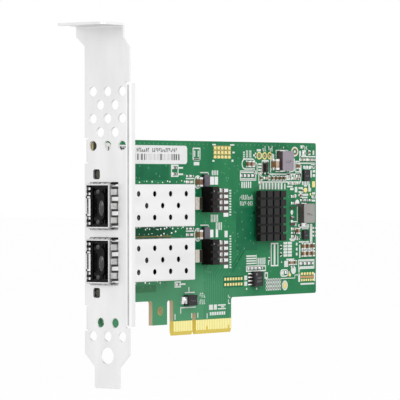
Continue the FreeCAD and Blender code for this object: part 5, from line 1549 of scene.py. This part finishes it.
@dataclass
class LabelPrint(Detail):
    """Grey strokes, bars and a square of cells on the paper label, with nothing to read."""

    height: float = 0.012
    words: tuple[Span, ...] = ((25.2, 32.4), (34.0, 48.3))
    word_levels: Span = (62.75, 64.1)
    word_pitch: float = 0.92
    word_seed: int = 8
    matrix: Rectangle = Rectangle(15.9, 59.5, 20.9, 64.5)
    matrix_cells: int = 10
    matrix_share: float = 0.8
    matrix_seed: int = 17
    bar_ends: Span = (22.6, 49.0)
    bar_levels: Span = (60.0, 62.1)
    bar_corner: float = 0.02
    dense: tuple[Span, ...] = ((25.5, 26.2), (27.7, 28.5), (29.4, 29.9), (38.5, 39.3), (44.9, 45.3),
                               (45.6, 46.0), (46.4, 47.0), (47.4, 48.1), (48.8, 49.5))
    pale_widths: Point = (0.18, 0.26, 0.36)
    pale_gap: float = 0.15
    pale_pitch: float = 0.9
    pale_steps: Span = (0.5, 0.9)
    pale_seed: int = 3

    def draw_words(self, relief: Relief) -> None:
        """Words of strokes in one row along the label.

        Args:
            relief: Gathers the strokes.
        """
        low, high = self.word_levels
        printer = Printer(relief, self.height, stroke_pitch=self.word_pitch, seed=self.word_seed)
        printer.draw(marks(Mark.STROKES, *((left, low, right, high) for left, right in self.words)))

    def draw_bars(self, dense: Relief, pale: Relief) -> None:
        """Dark bars at fixed places, and pale bars of uneven width between them.

        Args:
            dense: Gathers the dark bars.
            pale: Gathers the pale bars.
        """
        low, high = self.bar_levels
        for left, right in self.dense:
            dense.slab(Rectangle(left, low, right, high), self.height, self.bar_corner)
        chance = random.Random(self.pale_seed)
        along, end = self.bar_ends
        while along < end:
            width = chance.choice(self.pale_widths)
            if all(along + width < left - self.pale_gap or along > right + self.pale_gap
                   for left, right in self.dense):
                pale.slab(Rectangle(along, low, along + width, high), self.height, self.bar_corner)
            along += width + self.pale_pitch * chance.uniform(*self.pale_steps)

    def draw_matrix(self, relief: Relief) -> None:
        """Square of mostly dark cells at the label's end, where the cells of a column run together.

        Args:
            relief: Gathers the cells.
        """
        cell = self.matrix.wide / self.matrix_cells
        chance = random.Random(self.matrix_seed)
        for column in range(self.matrix_cells):
            left = self.matrix.left + column * cell
            start = None
            for row in range(self.matrix_cells + 1):
                inside = row < self.matrix_cells
                dark = inside and (column == 0 or row == 0 or chance.random() < self.matrix_share)
                if dark and start is None:
                    start = row
                elif not dark and start is not None:
                    low, high = self.matrix.low + start * cell, self.matrix.low + row * cell
                    relief.slab(Rectangle(left, low, left + cell, high), self.height, 0.0)
                    start = None

    def build(self) -> None:
        """Print the label."""
        ground = (self.places.front_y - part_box("label")[0][1]) / MM
        text, dense, pale = (Relief(self.places, ground=ground) for _ in range(3))
        self.draw_words(text)
        text.build("label_strokes", "label_paper", self.finishes.get(Plastic.GREY_INK))
        self.draw_bars(dense, pale)
        self.draw_matrix(dense)
        dense.build("label_bars", "label_paper", self.finishes.get(Plastic.INK))
        pale.build("label_pale_bars", "label_paper", self.finishes.get(Plastic.PALE_INK))


@dataclass(frozen=True)
class Top:
    """Marks on the tops of one node's parts: reach of the orientation dot and number of lines."""

    node: str
    dot: float = 0.0
    lines: int = 1


@dataclass
class PartMarks(Detail):
    """Orientation dots and short code strokes on the parts' tops."""

    height: float = 0.012
    tops: tuple[Top, ...] = (
        Top("memory_chip", 0.45, 2), Top("diode"), Top("power_inductor_a"), Top("power_inductor_b"),
        Top("regulators", 0.22), Top("transistor"), Top("line_filter_upper", 0.35, 0),
        Top("line_filter_lower", 0.35, 0))
    stroke_share: float = 0.16
    least_pitch: float = 0.3
    dot_share: Place = (0.2, 0.18)
    line_ends: Span = (0.28, 0.22)
    line_step: float = 0.24
    line_share: float = 0.14
    seed: int = 40

    def draw(self, printer: Printer, part: Part, top: Top) -> None:
        """Mark one top.

        Args:
            printer: Draws onto the top.
            part: Box of the part.
            top: Its marks.
        """
        if top.dot:
            along = part.left + part.wide * self.dot_share[0]
            up = part.high - part.tall * self.dot_share[1]
            printer.dot(Print(along - top.dot, up - top.dot, along + top.dot, up + top.dot, Mark.DOT))
        for line in range(top.lines):
            low = part.low + part.tall * (0.5 + self.line_step * (line - top.lines / 2))
            printer.strokes(Print(part.left + part.wide * self.line_ends[0], low,
                                  part.right - part.wide * self.line_ends[1],
                                  low + part.tall * self.line_share, Mark.STROKES))

    def build(self) -> None:
        """Mark the tops."""
        parts = [(part, top) for top in self.tops for part in separate_parts(top.node, self.places)]
        for index, (part, top) in enumerate(parts):
            relief = Relief(self.places, ground=part.height)
            pitch = max(part.wide * self.stroke_share, self.least_pitch)
            self.draw(Printer(relief, self.height, stroke_pitch=pitch, seed=self.seed + index), part, top)
            if relief.points:
                relief.build(f"top_mark_{index:02d}", "laminate", self.finishes.get(Plastic.TOP_INK))


@dataclass(frozen=True)
class Grip:
    """Rounded swelling on a plug's front: its middle, half its width and length, and its rise."""

    depth: float
    level: float
    half_width: float
    half_length: float
    rise: float


@dataclass
class MouthTrim(Detail):
    """Bright tongue and tabs of each port, painted shadow round its finger windows and in the slit above it,
    a bright sheet in the slit below it, a painted shade strip on its collar, and the plugs' grips.
    """

    ahead: float = 0.32
    thick: float = 0.2
    rim: float = 0.06
    rim_depth: float = 0.05
    tongue_levels: Span = (-3.3, 2.5)
    tongue_depth: Span = (0.72, 1.52)
    tab_levels: tuple[float, ...] = (-5.7, -4.0, 4.0, 5.7)
    tab_half: float = 0.42
    tab_depth: Span = (0.75, 1.5)
    window_ends: Span = (-1.45, 2.75)
    window_half: float = 1.72
    window_pitch: float = 4.75
    window_line: float = 0.80
    window_over: float = 0.12
    window_corners: Span = (0.2, 0.05)
    window_height: float = 0.03
    # Painted shadow: sizes of the dark plate in the slit above the mouth; the bright sheet below uses the
    # same sizes.
    slit_levels: Span = (7.2, 8.3)
    slit_depth: Span = (0.3, 11.9)
    slit_front: float = 1.2
    # Painted shade: a dark grey strip on the collar's side beside the mouth.
    shade_strip_ends: Span = (-2.25, -1.4)
    shade_strip_half: float = 6.8
    shade_strip_over: float = 0.17
    shade_strip_height: float = 0.02
    shade_strip_corner: float = 0.1
    grips: tuple[Grip, ...] = (Grip(5.45, -0.64, 1.15, 2.7, 0.80), Grip(3.9, 4.75, 0.75, 0.85, 0.45),
                               Grip(3.9, -5.25, 0.75, 0.85, 0.45))
    grip_lip: float = 0.05
    flat_top: float = 0.6
    rings: int = 9
    sides: int = 28

    def plate(self, relief: Relief, front: float, depth: Span, low: float, high: float) -> None:
        """Thin plate that faces out of the mouth, with a sloped rim.

        Args:
            relief: Gathers the points and faces.
            front: Place of its outer face, in metres.
            depth: Near and far edge out from the board, in millimetres.
            low: Lower edge in metres.
            high: Upper edge in metres.
        """
        start = len(relief.points)
        near, far = (self.places.front_y - value * MM for value in depth)
        for back, inset in ((self.thick, 0.0), (self.rim_depth, 0.0), (0.0, self.rim * MM)):
            relief.points.extend(Vector((front + back * MM, y, z)) for y, z in (
                (near - inset, low + inset), (far + inset, low + inset),
                (far + inset, high - inset), (near - inset, high - inset)))
        for ring in (start, start + 4):
            for step in range(4):
                after = (step + 1) % 4
                relief.faces.append((ring + step, ring + after, ring + 4 + after, ring + 4 + step))
        relief.faces.append((start, start + 1, start + 2, start + 3))
        relief.faces.append((start + 8, start + 9, start + 10, start + 11))

    def swell(self, relief: Relief, centre: Vector, grip: Grip) -> None:
        """Add one half-egg that swells out of the mouth.

        Args:
            relief: Gathers the points and faces.
            centre: Middle of its foot.
            grip: Its sizes.
        """
        first = len(relief.points)
        rise, half_width, half_length = (size * MM for size in (grip.rise, grip.half_width, grip.half_length))
        for ring in range(self.rings):
            turn = math.pi / 2 * ring / (self.rings - self.flat_top)
            for step in range(self.sides):
                angle = math.tau * step / self.sides
                relief.points.append(centre + Vector((-rise * math.sin(turn),
                                                      half_width * math.cos(turn) * math.cos(angle),
                                                      half_length * math.cos(turn) * math.sin(angle))))
        for row in range(first, first + (self.rings - 1) * self.sides, self.sides):
            for step in range(self.sides):
                after = (step + 1) % self.sides
                above = row + self.sides
                relief.faces.append((row + step, row + after, above + after, above + step))
        last = first + (self.rings - 1) * self.sides
        relief.faces.append(tuple(range(first, first + self.sides)))
        relief.faces.append(tuple(range(last, last + self.sides)))

    def windows(self, relief: Relief, level: float) -> None:
        """Dark outlines of the three finger windows on a cage's side: painted shadow in the gaps round the
        fingers.

        Args:
            relief: Gathers the outlines.
            level: Level of the port's middle.
        """
        left, right = self.window_ends
        outside, inside = self.window_corners
        for step in (-1, 0, 1):
            middle = level + step * self.window_pitch
            window = Rectangle(left, middle - self.window_half, right, middle + self.window_half)
            relief.hoop(rounded(window, outside), rounded(window.grown(-self.window_line), inside),
                        self.window_height)

    def line_gaps(self, place: str, middle: float) -> None:
        """Painted shadow in dark window outlines and a dark plate in the slit above the mouth, the bright
        sheet in the slit below it, and the collar's painted shade strip.

        Args:
            place: Name of the port.
            middle: Level of the port's middle, in metres.
        """
        level = (middle - self.places.base_z) / MM
        wall = (self.places.front_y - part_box(f"cage_{place}")[0][1]) / MM
        front = self.places.face_x + self.slit_front * MM
        near, far = (value * MM for value in self.slit_levels)
        dark, bright = Relief(self.places, ground=wall + self.window_over), Relief(self.places)
        self.windows(dark, level)
        # Painted shadow: a dark plate in the slit above the mouth.
        self.plate(dark, front, self.slit_depth, middle + near, middle + far)
        dark.build(f"gap_shade_{place}", "socket_black", self.finishes.get(Plastic.SOCKET))
        self.plate(bright, front, self.slit_depth, middle - far, middle - near)
        bright.build(f"gap_sheet_{place}", "cage_steel", self.finishes.get(Metal.CAGE))
        # Painted shade: a dark grey strip on the collar's side beside the mouth.
        shade_strip = Relief(self.places, ground=wall + self.shade_strip_over)
        left, right = self.shade_strip_ends
        box = Rectangle(left, level - self.shade_strip_half, right, level + self.shade_strip_half)
        shade_strip.slab(box, self.shade_strip_height, self.shade_strip_corner)
        shade_strip.build(f"collar_seam_{place}", "cage_steel", self.finishes.get(Metal.SEAM))

    def build(self) -> None:
        """Make the trim and the grip of both ports."""
        tabs = [(self.tab_depth, (level - self.tab_half, level + self.tab_half)) for level in self.tab_levels]
        for place in ("upper", "lower"):
            low, high = (Vector(corner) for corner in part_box(f"dust_plug_{place}"))
            middle = (low.z + high.z) / 2
            bright, swellings = Relief(self.places), Relief(self.places)
            for depth, (foot, head) in [(self.tongue_depth, self.tongue_levels), *tabs]:
                self.plate(bright, low.x - self.ahead * MM, depth, middle + foot * MM, middle + head * MM)
            bright.build(f"mouth_trim_{place}", "cage_steel", self.finishes.get(Metal.TIN))
            self.line_gaps(place, middle)
            for grip in self.grips:
                self.swell(swellings, Vector((low.x + self.grip_lip * MM, high.y - grip.depth * MM,
                                              middle + grip.level * MM)), grip)
            swellings.build(f"plug_grip_{place}", "plug_black", self.finishes.get(Plastic.GRIP), smooth=True)


@dataclass
class BendShadeLine(Detail):
    """Fine darker line along the bracket's bend: painted shade in the bend."""

    radius: float = 1.36
    first_deg: float = 24.0
    last_deg: float = 44.0
    low: float = 5.6
    high: float = 84.4
    proud: float = 0.012
    sunk: float = 0.05
    steps: int = 5

    def build(self) -> None:
        """Make the line."""
        centre_x = self.places.face_x + self.radius * MM
        centre_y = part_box("bracket")[0][1] + self.radius * MM
        outside, inside = (self.radius + self.proud) * MM, (self.radius - self.sunk) * MM
        turns = [math.radians(self.first_deg + (self.last_deg - self.first_deg) * step / self.steps)
                 for step in range(self.steps + 1)]
        rim = [(outside, turn) for turn in turns] + [(inside, turn) for turn in reversed(turns)]
        line = Relief(self.places)
        for level in (self.low, self.high):
            z = self.places.base_z + level * MM
            for radius, turn in rim:
                x, y = centre_x - radius * math.cos(turn), centre_y - radius * math.sin(turn)
                line.points.append(Vector((x, y, z)))
        count = len(rim)
        for step in range(count):
            after = (step + 1) % count
            line.faces.append((step, after, count + after, count + step))
        line.faces.append(tuple(range(count)))
        line.faces.append(tuple(range(count, 2 * count)))
        line.build("bend_line", "bracket_steel", self.finishes.get(Metal.BEND))


@dataclass
class SolderSide(Detail):
    """Generic legend, test pads and small chips of the solder side."""

    height: float = 0.035
    bar_share: float = 0.6
    seed: int = 17
    white: Prints = (
        marks(Mark.FRAME, (94.5, 33.0, 109.3, 48.0), (69.0, 60.0, 80.6, 65.6), (75.2, 15.2, 87.8, 20.0),
            (107.6, 55.4, 117.0, 64.8), (121.2, 36.5, 130.6, 45.9), (15.0, 58.0, 43.0, 65.0))
        + marks(Mark.STROKES, (46.0, 60.4, 62.0, 62.0), (88.0, 60.4, 101.0, 61.9), (88.0, 57.4, 97.0, 58.9),
            (112.0, 24.0, 124.0, 25.5), (50.0, 12.2, 62.0, 13.6), (96.6, 29.8, 107.0, 31.0))
        + marks(Mark.DOT, (92.6, 47.4, 93.4, 48.2), (120.0, 46.2, 120.7, 46.9), (106.2, 65.0, 106.9, 65.7))
        + marks(Mark.BAR, (110.0, 30.0, 118.0, 30.4), (110.0, 32.0, 118.0, 32.4))
    )
    gold: Prints = (
        marks(Mark.GRID, (69.6, 60.5, 80.0, 65.2, 5, 2), (75.8, 15.9, 87.1, 19.3, 7, 2),
            (98.0, 36.0, 106.0, 45.0, 8, 9))
        + marks(Mark.RING, (36.3, 6.5, 40.6, 10.8), (111.6, 13.4, 115.6, 17.4))
        + again(marks(Mark.DOT, (120.5, 58.0, 121.9, 59.4)), 3, along=3.5)
        + again(marks(Mark.DOT, (120.5, 54.5, 121.9, 55.9)), 2, along=3.5)
        + again(marks(Mark.DOT, (60.4, 47.0, 61.6, 48.2)), 2, up=-17.0)
    )
    chips: tuple[Chip, ...] = (Chip(96.6, 49.8, 1.2, 0.6, 0.4, True).row(6, along=1.9)
                               + Chip(111.6, 35.0, 1.2, 0.6, 0.4).row(6, up=2.0))

    def build(self) -> None:
        """Make the solder side."""
        for name, items, slot, finish in (("solder_side_legend", self.white, "laminate", Plastic.PRINT),
                                          ("solder_side_pads", self.gold, "contact_gold", Metal.GOLD)):
            relief = Relief(self.places, Side.SOLDER)
            Printer(relief, self.height, bar_share=self.bar_share, seed=self.seed).draw(items)
            relief.build(name, slot, self.finishes.get(finish))
        bodies, ends, fillets = (Relief(self.places, Side.SOLDER) for _ in range(3))
        maker = FineChips(self.finishes, self.places)
        for chip in self.chips:
            maker.shape(chip, bodies, ends, fillets)
        bodies.build("solder_side_chips", "capacitor_brown", self.finishes.get(Fired.CERAMIC))
        ends.build("solder_side_chip_ends", "tinned", self.finishes.get(Metal.TIN))
        fillets.build("solder_side_fillets", "tinned", self.finishes.get(Metal.SOLDER), smooth=True)


@dataclass(frozen=True)
class Lamp:
    """Square soft lamp: its place and size in metres, and its power in watts."""

    name: str
    place: Point
    size: float
    power: float


@dataclass
class Studio:
    """White floor and surround, soft lamps and the camera, with places and sizes in metres."""

    camera_place: Point = (-0.86802, -0.63019, 0.05211)
    heading_deg: float = 35.869
    pitch_deg: float = -0.308
    roll_deg: float = -0.053
    lens_mm: float = 279.93
    sensor_mm: float = 36.0
    clip: Span = (0.05, 50.0)
    floor_size: float = 8.0
    floor_drop: float = 0.0006
    floor_tone: float = 0.9
    floor_glow: float = 0.97
    surround: float = 0.62
    lamps: tuple[Lamp, ...] = (
        Lamp("key_lamp", (-1.45, -1.25, 1.15), 1.1, 12.0),
        Lamp("fill_lamp", (0.60, -1.60, 0.55), 1.0, 4.0),
        Lamp("side_lamp", (-1.70, 0.10, 0.70), 0.9, 3.0),
    )

    def axes(self) -> tuple[Vector, Vector, Vector]:
        """Right, up and forward directions of the camera."""
        degrees = (self.heading_deg, self.pitch_deg, self.roll_deg)
        heading, pitch, roll = (math.radians(turn) for turn in degrees)
        level = math.cos(pitch)
        forward = Vector((math.cos(heading) * level, math.sin(heading) * level, math.sin(pitch)))
        right = forward.cross(Vector((0, 0, 1))).normalized()
        up = right.cross(forward)
        turned = right * math.cos(roll) + up * math.sin(roll)
        return turned, up * math.cos(roll) - right * math.sin(roll), forward

    def build_camera(self) -> None:
        """Place the camera and make it the scene's."""
        data = bpy.data.cameras.new("view_camera")
        data.lens = self.lens_mm
        data.sensor_width = self.sensor_mm
        data.clip_start, data.clip_end = self.clip
        camera = bpy.data.objects.new("view_camera", data)
        right, up, forward = self.axes()
        turn = Matrix((right, up, -forward)).transposed().to_4x4()
        camera.matrix_world = Matrix.Translation(Vector(self.camera_place)) @ turn
        bpy.context.scene.collection.objects.link(camera)
        bpy.context.scene.camera = camera

    def white_rays(self, tree: bpy.types.NodeTree) -> bpy.types.NodeSocket:
        """Output that is 1 for camera, glossy and transmitted rays.

        Args:
            tree: Node tree to add to.

        Returns:
            The output.
        """
        path = tree.nodes.new("ShaderNodeLightPath")
        share = path.outputs["Is Camera Ray"]
        for ray in ("Is Glossy Ray", "Is Transmission Ray"):
            larger = tree.nodes.new("ShaderNodeMath")
            larger.operation = "MAXIMUM"
            tree.links.new(share, larger.inputs[0])
            tree.links.new(path.outputs[ray], larger.inputs[1])
            share = larger.outputs[0]
        return share

    def build_world(self) -> None:
        """White surround that lights the card at a plain level."""
        world = bpy.data.worlds.new("white_surround")
        bpy.context.scene.world = world
        world.use_nodes = True
        nodes, links = world.node_tree.nodes, world.node_tree.links
        background = nodes["Background"]
        background.inputs["Color"].default_value = (1, 1, 1, 1)
        level = nodes.new("ShaderNodeMapRange")
        links.new(self.white_rays(world.node_tree), level.inputs["Value"])
        level.inputs["To Min"].default_value = self.surround
        level.inputs["To Max"].default_value = 1.0
        links.new(level.outputs["Result"], background.inputs["Strength"])

    def floor_finish(self) -> bpy.types.Material:
        """Pale floor that glows for rays that look at it, and still takes a shadow.

        Returns:
            The material.
        """
        material = bpy.data.materials.new("pale_floor")
        material.use_nodes = True
        nodes, links = material.node_tree.nodes, material.node_tree.links
        plain = nodes.new("ShaderNodeBsdfDiffuse")
        plain.inputs["Color"].default_value = (*grey(self.floor_tone), 1)
        glow = nodes.new("ShaderNodeEmission")
        glow.inputs["Color"].default_value = (1, 1, 1, 1)
        share = nodes.new("ShaderNodeMath")
        share.operation = "MULTIPLY"
        links.new(self.white_rays(material.node_tree), share.inputs[0])
        share.inputs[1].default_value = self.floor_glow
        mixer = nodes.new("ShaderNodeMixShader")
        links.new(share.outputs[0], mixer.inputs[0])
        links.new(plain.outputs[0], mixer.inputs[1])
        links.new(glow.outputs[0], mixer.inputs[2])
        links.new(mixer.outputs[0], nodes["Material Output"].inputs["Surface"])
        return material

    def build_floor(self) -> None:
        """Floor just under the card."""
        half = self.floor_size / 2
        z = CAD_BOUNDS[0].z - self.floor_drop
        mesh = bpy.data.meshes.new("studio_floor")
        mesh.from_pydata([(-half, -half, z), (half, -half, z), (half, half, z), (-half, half, z)], [],
                         [(0, 1, 2, 3)])
        floor = bpy.data.objects.new("studio_floor", mesh)
        bpy.context.scene.collection.objects.link(floor)
        mesh.materials.append(self.floor_finish())

    def build_lamps(self) -> None:
        """Large soft lamps aimed at the middle of the card."""
        middle = (CAD_BOUNDS[0] + CAD_BOUNDS[1]) / 2
        for lamp in self.lamps:
            data = bpy.data.lights.new(lamp.name, "AREA")
            data.size = lamp.size
            data.energy = lamp.power
            light = bpy.data.objects.new(lamp.name, data)
            light.location = lamp.place
            light.rotation_euler = (middle - Vector(lamp.place)).to_track_quat("-Z", "Y").to_euler()
            bpy.context.scene.collection.objects.link(light)

    def build(self) -> None:
        """Make the studio."""
        bpy.context.scene.view_settings.view_transform = "Standard"
        self.build_world()
        self.build_floor()
        self.build_lamps()
        self.build_camera()


def main() -> None:
    """Dress the card and build the studio."""
    logging.basicConfig(level=logging.INFO, format="%(name)s: %(message)s")
    finishes = Finishes()
    places = BoardPlaces.read()
    CardDress(finishes).build()
    legend = PrintedLegend(finishes, places)
    legend.build()
    pads = PlatedPads(finishes, places)
    pads.build()
    FineChips(finishes, places).build()
    SolderJoints(finishes, places).build()
    TracesAndVias(finishes, places).build(legend.solid + pads.gold + pads.tin)
    LabelPrint(finishes, places).build()
    PartMarks(finishes, places).build()
    MouthTrim(finishes, places).build()
    BendShadeLine(finishes, places).build()
    SolderSide(finishes, places).build()
    Studio().build()


if __name__ == "__main__":
    main()
